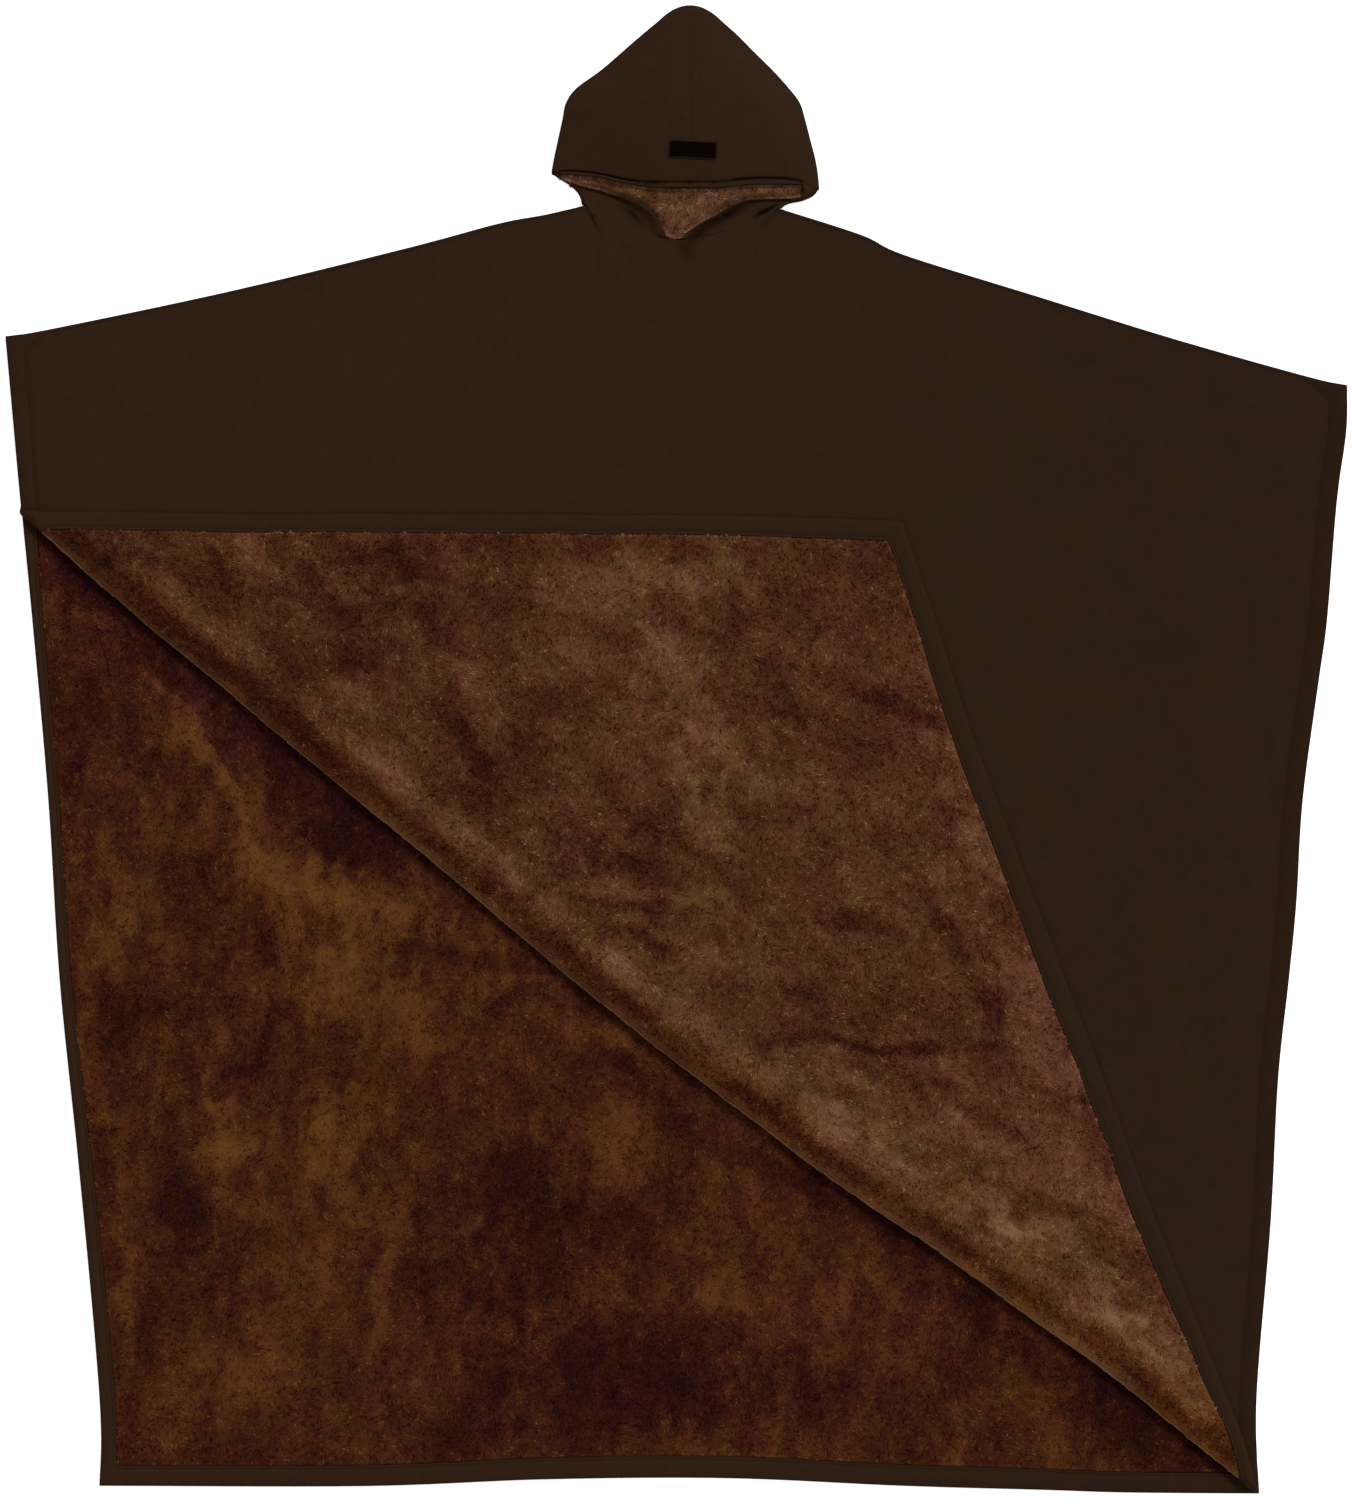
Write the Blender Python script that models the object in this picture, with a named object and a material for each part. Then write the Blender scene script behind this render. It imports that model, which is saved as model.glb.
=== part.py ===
"""A hooded, plush-lined poncho laid flat, with the front's lower left corner folded over.

Each panel is a thin woven shell over a plush lining. The shell's edge turns over the lining as a hem.
Tables are in millimetres. +Y runs from hem to hood, and the floor is z = 0.
"""

import bpy
import numpy as np
from mathutils import Vector
from mathutils.geometry import delaunay_2d_cdt

MM = 0.001

# Cloth
SHELL = 1.2
LINING = 2.5
GAP = 0.3
SHEET = SHELL + GAP + LINING
STACK = 2 * SHEET + GAP  # front over back, lining to lining

# Hems
HEM = 22.0
SEAM_ALLOWANCE = 6.0
PRESSED = 1.0  # lining left under a hem
EDGE_ROUND = 0.4
PILE_RISE = 2.5  # width over which the pile comes up beside a hem
OUTLINE_STEP = 125.0

# Fold of the front's lower left corner
FOLD_RADIUS = 1.9  # inside the fold, at the shell's face
FOLD_ANGLES = np.radians([0, 30, 60, 90, 120, 150, 180])
FOLD_START = np.array([-705.2, 261.9])
FOLD_END = np.array([629.3, -796.8])
TEARDROP = 58.0  # width over which the fold settles to the flap's height
TEARDROP_ROWS = (12.0, 30.0, 58.0)
FOLD_STEP = 85.0
GRID_STEP = 130.0
FOLD_ENTRY = 0.97  # run along the fold for each unit across it, where the left edge crosses
CORNER_S = 1704.4
BOTTOM_RUN = 1.26
RIGHT_RUN = -0.673

# How far the fold sags below its chord, by the distance along it
BOW = (
    # along, sag
    (0, 0.0),
    (60, 4.6),
    (287, 11.4),
    (400, 15.2),
    (624, 19.5),
    (849, 25.3),
    (1012, 22.8),
    (1122, 20.0),
    (1278, 9.5),
    (1384, 4.0),
    (1489, -1.0),
    (1654, -1.5),
    (1720, 0.0),
)

# Outline of the back, anticlockwise from above. A corner ends each edge.
LEFT_SHOULDER = (
    # x, y
    (-140.4, 577.8),
    (-286.2, 543.2),
    (-480.6, 495.7),
    (-675.0, 454.7),
    (-723.6, 447.1),
)
LEFT_SIDE = (
    (-723.6, 447.1),
    (-707.4, 270.0),
    (-694.4, 140.4),
    (-676.1, -54.0),
    (-664.2, -248.4),
    (-643.7, -442.8),
    (-625.3, -637.2),
    (-621.0, -793.8),
)
BOTTOM = (
    (-621.0, -793.8),
    (-334.8, -793.8),
    (-140.4, -786.2),
    (54.0, -785.2),
    (248.4, -793.8),
    (491.4, -801.4),
    (630.7, -802.4),
)
RIGHT_SIDE = (
    (630.7, -802.4),
    (626.4, -702.0),
    (641.5, -507.6),
    (661.0, -248.4),
    (675.0, -54.0),
    (693.4, 75.6),
    (712.8, 270.0),
    (724.7, 394.2),
)
RIGHT_SHOULDER = (
    (724.7, 394.2),
    (685.8, 402.8),
    (540.0, 443.9),
    (394.2, 489.2),
    (248.4, 534.6),
    (202.0, 556.2),
)

# Outline of the flap where it lies, from the fold's left end to its right end
FLAP_TOP = (
    # x, y
    (-672.0, 257.8),
    (-513.0, 256.4),
    (-189.0, 255.2),
    (81.0, 252.9),
    (246.2, 248.4),
)
FLAP_SIDE = (
    (246.2, 248.4),
    (328.3, 0.0),
    (410.4, -216.0),
    (491.4, -432.0),
    (527.0, -534.6),
    (563.8, -612.4),
    (602.6, -690.1),
    (613.4, -725.8),
    (620.5, -765.0),
)

# Soft swells of the loose cloth: centre, direction, half length, half width, height
FRONT_SWELLS = (
    # x, y, turn, along, across, lift
    (560.0, 120.0, 100.0, 210.0, 42.0, 2.4),
    (-330.0, 390.0, 15.0, 190.0, 38.0, 2.2),
    (330.0, 385.0, -18.0, 170.0, 38.0, 2.4),
    (40.0, 400.0, 84.0, 60.0, 36.0, 2.0),
)
FLAP_SWELLS = (
    (-110.0, 60.0, -34.0, 260.0, 60.0, 3.2),
    (215.0, -330.0, -52.0, 240.0, 60.0, 3.4),
    (120.0, -40.0, -12.0, 150.0, 60.0, 2.6),
    (-420.0, 150.0, -20.0, 140.0, 40.0, 2.4),
)

# Hood
CENTRE = 16.2
HALF_SEAM = GAP / 2
ROLL = STACK / 2  # radius of the hood's side folds
ROLL_ANGLES = np.radians([45, 90, 135, 180])
TOP_STEPS = (0.0, 0.2, 0.4, 0.6, 0.76, 0.88, 0.92, 0.96, 1.0)  # centre seam to side fold
FACE_COLUMN = 5  # where the face opening's edge leaves the brim
BACK_STEPS = (0.66, 0.33, 0.0)
CROWN_POWER = 2.2
PEAK_Y = 805.0

HOOD_ROWS = (
    # centre y, left side x, left side y, right side x, right side y, height
    (612.4, -133.9, 622.1, 154.4, 609.0, 21.0),
    (633.0, -130.0, 638.0, 150.6, 634.5, 24.5),
    (661.0, -125.4, 661.0, 144.0, 661.0, 27.0),
    (681.0, -121.6, 681.0, 138.8, 681.0, 27.0),
    (699.0, -116.6, 699.0, 133.6, 699.0, 26.0),
    (715.0, -105.5, 715.0, 121.0, 715.0, 24.0),
    (734.4, -79.0, 734.4, 103.5, 734.4, 21.0),
    (753.8, -57.0, 753.8, 84.0, 753.8, 17.5),
    (772.2, -35.5, 772.2, 65.8, 772.2, 14.0),
    (788.4, -16.0, 788.4, 47.5, 788.4, 11.0),
    (798.0, -3.5, 798.0, 35.0, 798.0, 9.4),
)

# Hood below the brim: the face opening's edge and the side, from the neck seam up to the brim
NECK_ROWS = (
    # rise, seam curve kept, edge x, edge y, side x, side y
    {"left": (0.0, 1.0, 6.5, 531.4, -100.4, 588.6), "right": (0.0, 1.0, 6.5, 531.4, 115.6, 585.4)},
    {"left": (0.12, 0.8, 6.5, 553.0, -101.5, 595.1), "right": (0.12, 0.8, 6.5, 553.0, 118.6, 591.5)},
    {"left": (0.4, 0.35, -23.8, 578.9, -108.0, 602.6), "right": (0.4, 0.35, 30.2, 571.3, 129.5, 597.0)},
    {"left": (0.7, 0.1, -75.6, 604.8, -121.0, 611.3), "right": (0.7, 0.1, 83.2, 596.2, 148.5, 603.5)},
)
# Neck seams, from the middle to the side
FRONT_NECK = {
    "left": ((6.5, 531.4), (-34.6, 541.1), (-73.4, 559.4), (-96.25, 588.6)),
    "right": ((6.5, 531.4), (43.2, 540.0), (78.8, 558.4), (111.45, 585.4)),
}
BACK_NECK = {
    "left": ((-96.25, 588.6), (-64.0, 560.0), (-28.0, 546.0), (6.5, 542.2)),
    "right": ((111.45, 585.4), (78.8, 559.4), (44.0, 546.0), (6.5, 542.2)),
}

# Hook-and-loop strip on the hood
STRIP_CENTRE = (19.4, 646.4)
STRIP_TURN = -2.4
STRIP_THICKNESS = 1.6
STRIP_COLUMNS = (
    # along, half width
    (-24.5, 6.0),
    (-22.5, 8.0),
    (0.0, 8.0),
    (22.5, 8.0),
    (24.5, 6.0),
)

COLOURS = {
    # linear red, green, blue, roughness
    "shell": (0.028, 0.0125, 0.0070, 0.78),
    "front_pile": (0.075, 0.027, 0.0110, 0.95),
    "back_pile": (0.055, 0.0165, 0.0050, 0.95),
    "hood_pile": (0.090, 0.035, 0.0140, 0.95),
    "strip": (0.0030, 0.0018, 0.0014, 0.70),
}


def clear_scene():
    for obj in list(bpy.data.objects):
        bpy.data.objects.remove(obj, do_unlink=True)


def collection_named(name):
    found = bpy.data.collections.new(name)
    bpy.context.scene.collection.children.link(found)
    return found


def material_named(name):
    red, green, blue, roughness = COLOURS[name]
    material = bpy.data.materials.new(name)
    material.use_nodes = True
    shader = material.node_tree.nodes["Principled BSDF"]
    shader.inputs["Base Color"].default_value = (red, green, blue, 1.0)
    shader.inputs["Roughness"].default_value = roughness
    shader.inputs["Metallic"].default_value = 0.0
    return material


def solid(name, points, faces, material, group):
    """One closed body from points in millimetres and faces, turned to face outward.

    Points that coincide are made one, and a face that this flattens is dropped.
    """
    keys = np.round(points, 4)
    kept, index = np.unique(keys, axis=0, return_inverse=True)
    index = index.reshape(-1)
    clean = []
    for face in faces:
        corners = [int(index[k]) for k in face]
        corners = [c for k, c in enumerate(corners) if c != corners[k - 1]]
        if len(corners) > 2:
            clean.append(corners)
    volume = 0.0
    for face in clean:
        for k in range(1, len(face) - 1):
            volume += np.dot(kept[face[0]], np.cross(kept[face[k]], kept[face[k + 1]]))
    if volume < 0:
        clean = [face[::-1] for face in clean]
    mesh = bpy.data.meshes.new(name)
    mesh.from_pydata((kept * MM).tolist(), [], clean)
    mesh.materials.append(material)
    mesh.update()
    obj = bpy.data.objects.new(name, mesh)
    group.objects.link(obj)
    return obj


def smooth_run(table, step):
    """Points about a step apart on a Catmull-Rom curve through the table, from its first row to its last."""
    knots = np.array(table, float)
    before = 2 * knots[0] - knots[1]
    after = 2 * knots[-1] - knots[-2]
    ends = np.vstack([before, knots, after])
    found = [knots[0]]
    for k in range(1, len(knots)):
        a, b, c, d = ends[k - 1], ends[k], ends[k + 1], ends[k + 2]
        pieces = max(1, int(round(np.linalg.norm(c - b) / step)))
        for part in range(1, pieces + 1):
            t = part / pieces
            tangent_b = (c - a) / 2
            tangent_c = (d - b) / 2
            found.append(
                (2 * t**3 - 3 * t**2 + 1) * b
                + (t**3 - 2 * t**2 + t) * tangent_b
                + (-2 * t**3 + 3 * t**2) * c
                + (t**3 - t**2) * tangent_c
            )
    return np.array(found)


def unit(vector):
    return vector / np.linalg.norm(vector)


def inward(edge):
    """The left-hand normal of an edge of an anticlockwise outline."""
    return unit(np.array([-edge[1], edge[0]]))


def mitres(outline):
    """For each outline point, the way inward that moves both its edges in by one unit."""
    count = len(outline)
    found = np.empty_like(outline)
    for k in range(count):
        first = inward(outline[k] - outline[k - 1])
        second = inward(outline[(k + 1) % count] - outline[k])
        found[k] = (first + second) / (1 + first @ second)
    return found


def shifted(points, amount):
    """An open run of points moved to its right-hand side by an amount."""
    found = np.empty_like(points)
    for k in range(len(points)):
        first = points[k] - points[k - 1] if k else points[1] - points[0]
        second = points[k + 1] - points[k] if k + 1 < len(points) else first
        a, b = -inward(first), -inward(second)
        found[k] = points[k] + amount * (a + b) / (1 + a @ b)
    return found


def offsets_inside(ring, points):
    """How far each point lies inside a closed ring, and negative outside it."""
    odd = np.zeros(len(points), int)
    nearest = np.full(len(points), np.inf)
    for start, end in zip(ring, np.roll(ring, -1, axis=0)):
        step = end - start
        hit = (start[1] > points[:, 1]) != (end[1] > points[:, 1])
        rise = 1 if step[1] == 0 else step[1]
        odd += hit & (points[:, 0] < start[0] + (points[:, 1] - start[1]) / rise * step[0])
        t = np.clip(((points - start) @ step) / (step @ step), 0, 1)
        nearest = np.minimum(nearest, np.linalg.norm(points - start - t[:, None] * step, axis=1))
    return np.where(odd % 2 == 1, nearest, -nearest)


def fill(ring, inner, rows):
    """Triangles over a ring of points, the points inside it, and the rows that edges must follow."""
    plan = np.vstack([ring, inner])
    points = [Vector((float(x), float(y))) for x, y in plan]
    count = len(ring)
    edges = [(k, (k + 1) % count) for k in range(count)]
    edges += [(row[k], row[k + 1]) for row in rows for k in range(len(row) - 1)]
    result = delaunay_2d_cdt(points, edges, [], 0, 1e-5, True)
    if len(result[0]) != len(points):
        raise ValueError("an outline or a fold row crosses itself")
    origins = [ids[0] for ids in result[3]]
    found = np.array([[origins[k] for k in face] for face in result[2]])
    middles = plan[found].mean(axis=1)
    return found[offsets_inside(ring, middles) > 0].tolist()


def sheet_solid(name, stations, inner, triangles, place, material, group):
    """A panel's layer. Stations are rings of plan points with their depth in the sheet, from one face over the
    edge to the other. Both faces are closed over the same inner points, so that layers keep their gap.
    """
    count = len(stations[0][0])
    blocks = [place(ring, depth) for ring, depth in stations]
    first_inner = len(stations) * count
    blocks.append(place(inner, stations[0][1]))
    blocks.append(place(inner, stations[-1][1]))
    faces = []
    for level in range(len(stations) - 1):
        low = level * count
        for k in range(count):
            after = (k + 1) % count
            a, b = low + k, low + after
            c, d = low + count + after, low + count + k
            faces.append((a, b, c))
            faces.append((a, c, d))
    last = (len(stations) - 1) * count
    for corners in triangles:
        near = [k if k < count else first_inner + k - count for k in corners]
        far = [last + k if k < count else first_inner + len(inner) + k - count for k in corners]
        faces.append(tuple(near[::-1]))
        faces.append(tuple(far))
    return solid(name, np.vstack(blocks), faces, material, group)


def shell_stations(ring, hems):
    """A shell from its outer face over the edge, over the lining as a hem, and back to its inner face."""
    flat = np.zeros(len(hems))
    inside = hems + PILE_RISE
    return [
        (ring(inside), 0.0),
        (ring(flat + EDGE_ROUND), 0.0),
        (ring(flat), 1.5 * EDGE_ROUND),
        (ring(flat), SHEET - 1.5 * EDGE_ROUND),
        (ring(flat + EDGE_ROUND), SHEET),
        (ring(hems), SHEET),
        (ring(hems), SHEET - SHELL),
        (ring(flat + SHELL), SHEET - SHELL),
        (ring(flat + SHELL), SHELL),
        (ring(inside), SHELL),
    ]


def lining_stations(ring, hems):
    """A lining from its backing, round its edge inside the hem, pressed flat there, and up to its pile."""
    edge = np.full(len(hems), SHELL + GAP)
    return [
        (ring(hems + PILE_RISE), SHELL + GAP),
        (ring(edge), SHELL + GAP),
        (ring(edge), SHELL + GAP + PRESSED),
        (ring(hems + GAP + 0.1), SHELL + GAP + PRESSED),
        (ring(hems + PILE_RISE), SHEET),
    ]


def neck_run(table):
    """The neck seam from the right notch to the left, one gap outside the hood's own edge."""
    right = np.array(table["right"])
    left = np.array(table["left"])
    if right[0][0] < right[-1][0]:
        right, left = right[::-1], left
    else:
        left = left[::-1]
    return shifted(np.vstack([right, left[1:]])[::-1], GAP)[::-1]


def joined(runs):
    """One closed outline from runs that each end where the next starts, with a hem width for each point."""
    points, hems = [], []
    for run, hem in runs:
        for point in run[:-1]:
            points.append(point)
            hems.append(hem)
    return np.array(points), np.array(hems, float)


def build_back(group, materials):
    neck = neck_run(BACK_NECK)
    left = smooth_run(np.vstack([neck[-1:], LEFT_SHOULDER]), OUTLINE_STEP)
    right = smooth_run(np.vstack([RIGHT_SHOULDER, neck[:1]]), OUTLINE_STEP)
    outline, hems = joined(
        (
            (left, SEAM_ALLOWANCE),
            (smooth_run(LEFT_SIDE, OUTLINE_STEP), HEM),
            (smooth_run(BOTTOM, OUTLINE_STEP), HEM),
            (smooth_run(RIGHT_SIDE, OUTLINE_STEP), HEM),
            (right, SEAM_ALLOWANCE),
            (neck, SEAM_ALLOWANCE),
        )
    )
    ways = mitres(outline)
    inner = np.empty((0, 2))

    def ring(distance):
        return outline + distance[:, None] * ways

    def place(points, depth):
        return np.column_stack([points, np.full(len(points), depth)])

    triangles = fill(ring(hems + PILE_RISE), inner, [])
    sheet_solid("back_shell", shell_stations(ring, hems), inner, triangles, place, materials["shell"], group)
    sheet_solid("back_lining", lining_stations(ring, hems), inner, triangles, place, materials["back_pile"], group)


def fold_axes():
    along = unit(FOLD_END - FOLD_START)
    return along, np.array([-along[1], along[0]])


def sag(along):
    table = np.array(BOW)
    s, y = table[:, 0], table[:, 1]
    slope = np.gradient(y, s)
    k = np.clip(np.searchsorted(s, along) - 1, 0, len(s) - 2)
    width = s[k + 1] - s[k]
    t = np.clip((along - s[k]) / width, 0, 1)
    return (
        (2 * t**3 - 3 * t**2 + 1) * y[k]
        + (t**3 - 2 * t**2 + t) * slope[k] * width
        + (-2 * t**3 + 3 * t**2) * y[k + 1]
        + (t**3 - t**2) * slope[k + 1] * width
    )


def to_fold(points):
    """Distance along the fold and across it, positive on the side that lies flat."""
    u, n = fold_axes()
    moved = np.asarray(points) - FOLD_START
    along = moved @ u
    return along, moved @ n + sag(along)


def from_fold(along, across):
    u, n = fold_axes()
    along = np.asarray(along, float)
    across = np.asarray(across, float)
    return FOLD_START + along[:, None] * u + (across - sag(along))[:, None] * n


def unfolded(points):
    """Where points of the flap, as it lies, are on the panel opened flat."""
    along, across = to_fold(points)
    return from_fold(along, -across - np.pi * FOLD_RADIUS)


def swell(points, table):
    """Sum of soft ridges, each a bell across its width and along its length."""
    total = np.zeros(len(points))
    for x, y, turn, length, width, lift in table:
        angle = np.radians(turn)
        moved = points - np.array([x, y])
        a = moved @ np.array([np.cos(angle), np.sin(angle)])
        b = moved @ np.array([-np.sin(angle), np.cos(angle)])
        total += lift * np.exp(-((a / length) ** 2) - (b / width) ** 2)
    return total


def place_front(points, depth):
    """The front in space: flat, then round the fold, then back over itself as the flap.

    Depth is measured from the shell's outer face towards the pile.
    """
    along, across = to_fold(points)
    quarter = np.pi * FOLD_RADIUS
    angle = np.clip(-across / FOLD_RADIUS, 0, np.pi)
    past = np.maximum(-across - quarter, 0)
    radius = FOLD_RADIUS + depth
    flat = np.maximum(across, 0)
    plan = from_fold(along, flat - radius * np.sin(angle) + past)
    settle = 0.5 * (1 + np.cos(np.pi * np.clip(past / TEARDROP, 0, 1)))
    top = STACK + GAP + (2 * FOLD_RADIUS - GAP) * settle + depth
    low = STACK + FOLD_RADIUS - radius * np.cos(angle)
    height = np.where(past > 0, top, low)
    height += np.where(across > 0, swell(plan, FRONT_SWELLS), 0)
    height += np.where(past > 0, swell(plan, FLAP_SWELLS) * (1 - settle), 0)
    return np.column_stack([plan, height])


def fold_rows_left():
    """Outline points where the left edge goes round the fold."""
    across = -FOLD_RADIUS * FOLD_ANGLES
    start = left_crossing()
    return from_fold(start - across * FOLD_ENTRY, across)


def left_crossing():
    """Distance along the fold where the left side meets it."""
    run = smooth_run(LEFT_SIDE, 4.0)
    along, across = to_fold(run)
    k = int(np.argmax(across < 0))
    part = across[k - 1] / (across[k - 1] - across[k])
    return along[k - 1] + part * (along[k] - along[k - 1])


def fold_rows_right():
    """Outline points where the lower right corner goes round the fold, the corner itself half way."""
    across = -FOLD_RADIUS * FOLD_ANGLES[::-1]
    corner = -FOLD_RADIUS * np.pi / 2
    run = np.where(across < corner, BOTTOM_RUN, RIGHT_RUN)
    return from_fold(CORNER_S + (across - corner) * run, across)


def before_crossing(run):
    """The part of a run that lies flat, clear of the fold."""
    _, across = to_fold(run)
    return run[across > 30.0]


def build_front(group, materials):
    u, _ = fold_axes()
    neck = neck_run(FRONT_NECK)
    left = smooth_run(np.vstack([neck[-1:], LEFT_SHOULDER]), OUTLINE_STEP)
    right = smooth_run(np.vstack([RIGHT_SHOULDER, neck[:1]]), OUTLINE_STEP)
    side_left = before_crossing(smooth_run(LEFT_SIDE, OUTLINE_STEP))
    side_right = before_crossing(smooth_run(RIGHT_SIDE, OUTLINE_STEP))
    rows_left, rows_right = fold_rows_left(), fold_rows_right()
    flap_top = unfolded(smooth_run(FLAP_TOP, OUTLINE_STEP))
    flap_side = unfolded(smooth_run(FLAP_SIDE, OUTLINE_STEP))
    outline, hems = joined(
        (
            (left, SEAM_ALLOWANCE),
            (np.vstack([side_left, rows_left[:1]]), HEM),
            (np.vstack([rows_left, flap_top[:1]]), HEM),
            (flap_top, HEM),
            (np.vstack([flap_side, rows_right[:1]]), HEM),
            (np.vstack([rows_right, side_right[:1]]), HEM),
            (side_right, HEM),
            (right, SEAM_ALLOWANCE),
            (neck, SEAM_ALLOWANCE),
        )
    )
    ways = mitres(outline)
    along, across = to_fold(outline)
    turns = len(FOLD_ANGLES)
    first_left = int(np.argmin(np.linalg.norm(outline - rows_left[0], axis=1)))
    first_right = int(np.argmin(np.linalg.norm(outline - rows_right[0], axis=1)))
    corner = first_right + turns // 2
    left_rate = 1 / (u @ inward(outline[first_left + turns] - outline[first_left - 1]))
    bottom_rate = 1 / (-u @ inward(outline[first_right] - outline[first_right - 2]))
    right_rate = 1 / (-u @ inward(outline[first_right + turns] - outline[corner]))
    rates = np.zeros(len(outline))
    rates[first_left - 2 : first_left + turns + 2] = left_rate
    rates[first_right - 3 : corner] = -bottom_rate
    rates[corner] = -(bottom_rate + right_rate) / 2
    rates[corner + 1 : first_right + turns + 2] = -right_rate
    near = np.where(rates == 0, 0, np.clip(1 - (abs(across) - 20) / 180, 0, 1))

    def ring(distance):
        """The outline moved in by a distance. Near the fold it moves along it, so that the fold stays even."""
        plain = outline + distance[:, None] * ways
        beside = from_fold(along + distance * rates, across)
        return near[:, None] * beside + (1 - near[:, None]) * plain

    inside = ring(hems + PILE_RISE)
    inner = []
    rows = []
    spots = np.arange(FOLD_STEP, CORNER_S, FOLD_STEP)
    for turn in range(turns):
        start, end = first_left + turn, first_right + turns - 1 - turn
        points = from_fold(spots, np.full(len(spots), -FOLD_RADIUS * FOLD_ANGLES[turn]))
        low = to_fold(inside[start : start + 1])[0][0] + 0.5 * FOLD_STEP
        high = to_fold(inside[end : end + 1])[0][0] - 0.5 * FOLD_STEP
        points = points[(spots > low) & (spots < high)]
        ids = [len(inside) + len(inner) + k for k in range(len(points))]
        inner.extend(points)
        rows.append([start] + ids + [end])
    for past in TEARDROP_ROWS:
        points = from_fold(spots, np.full(len(spots), -np.pi * FOLD_RADIUS - past))
        inner.extend(points[offsets_inside(inside, points) > 14.0])
    wide = np.arange(-GRID_STEP, CORNER_S, GRID_STEP)
    for past in np.arange(TEARDROP + 0.8 * GRID_STEP, 1000, GRID_STEP):
        points = from_fold(wide, np.full(len(wide), -past))
        inner.extend(points[offsets_inside(inside, points) > 0.3 * GRID_STEP])
    for over in np.arange(0.6 * GRID_STEP, 1500, GRID_STEP):
        points = from_fold(wide, np.full(len(wide), over))
        inner.extend(points[offsets_inside(inside, points) > 0.3 * GRID_STEP])
    inner = np.array(inner)
    triangles = fill(inside, inner, rows)
    shell = shell_stations(ring, hems)
    lining = lining_stations(ring, hems)
    sheet_solid("front_shell", shell, inner, triangles, place_front, materials["shell"], group)
    sheet_solid("front_lining", lining, inner, triangles, place_front, materials["front_pile"], group)


def hood_side(side):
    """For each row from the neck seam to the crown, where the side fold's centre lies and its way outward."""
    way = -1 if side == "left" else 1
    outer = [row[side][4:6] for row in NECK_ROWS]
    outer += [row[1:3] if side == "left" else row[3:5] for row in HOOD_ROWS]
    outer = np.array(outer)
    steps = np.gradient(outer, axis=0)
    ways = np.array([way * np.array([step[1], -step[0]]) / np.linalg.norm(step) for step in steps])
    ways[0] = (way, 0.0)
    return outer - ROLL * ways, ways


def side_fold(end, way, depth):
    """Points round the side fold, from the top to the floor."""
    radius = ROLL - depth
    found = []
    for angle in ROLL_ANGLES:
        plan = end + way * radius * np.sin(angle)
        found.append((plan[0], plan[1], ROLL + radius * np.cos(angle)))
    return found


def hood_section(side, k, depth):
    """A full section of one half of the hood: over the top, round the side fold, and back along the floor."""
    half = HALF_SEAM if side == "right" else -HALF_SEAM
    ends, ways = hood_side(side)
    end, way = ends[len(NECK_ROWS) + k], ways[len(NECK_ROWS) + k]
    middle = np.array([CENTRE + half, HOOD_ROWS[k][0]])
    height = HOOD_ROWS[k][5]

    def plan(t):
        return middle + (end - middle) * np.array([t, t**2])

    points = []
    for t in TOP_STEPS:
        rise = (height - STACK) * (1 - t**CROWN_POWER)
        points.append((*plan(t), STACK + rise - depth))
    points += side_fold(end, way, depth)
    for t in BACK_STEPS:
        points.append((*plan(t), depth))
    return np.array(points)


def neck_section(side, k, brim, depth):
    """A section below the brim: from the face opening's edge to the side fold, and back along the floor."""
    half = np.array([HALF_SEAM if side == "right" else -HALF_SEAM, 0.0])
    rise, curve, edge_x, edge_y, _, _ = NECK_ROWS[k][side]
    ends, ways = hood_side(side)
    end = ends[k]
    seam = np.array(FRONT_NECK[side])
    edge = np.array([edge_x, edge_y])
    if edge_x == seam[0][0]:
        edge = edge + half
    points = []
    columns = len(TOP_STEPS) - FACE_COLUMN
    for m in range(columns):
        t = m / (columns - 1)
        bulge = seam[m] - (1 - t) * seam[0] - t * seam[-1]
        plan = (1 - t) * edge + t * end + curve * bulge
        brim_height = brim[FACE_COLUMN + m][2] + depth
        points.append((*plan, STACK + (brim_height - STACK) * rise - depth))
    points += side_fold(end, ways[k], depth)
    back = np.array(BACK_NECK[side])
    first = len(TOP_STEPS) + len(ROLL_ANGLES)
    for m, t in enumerate(BACK_STEPS):
        low = back[m + 1] + (half if t == 0 else 0)
        high = brim[first + m][:2]
        spread = end - back[0] * (1 - rise) - brim[first - 1][:2] * rise
        plan = low * (1 - rise) + high * rise + t * spread
        points.append((*plan, depth))
    return np.array(points)


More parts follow.
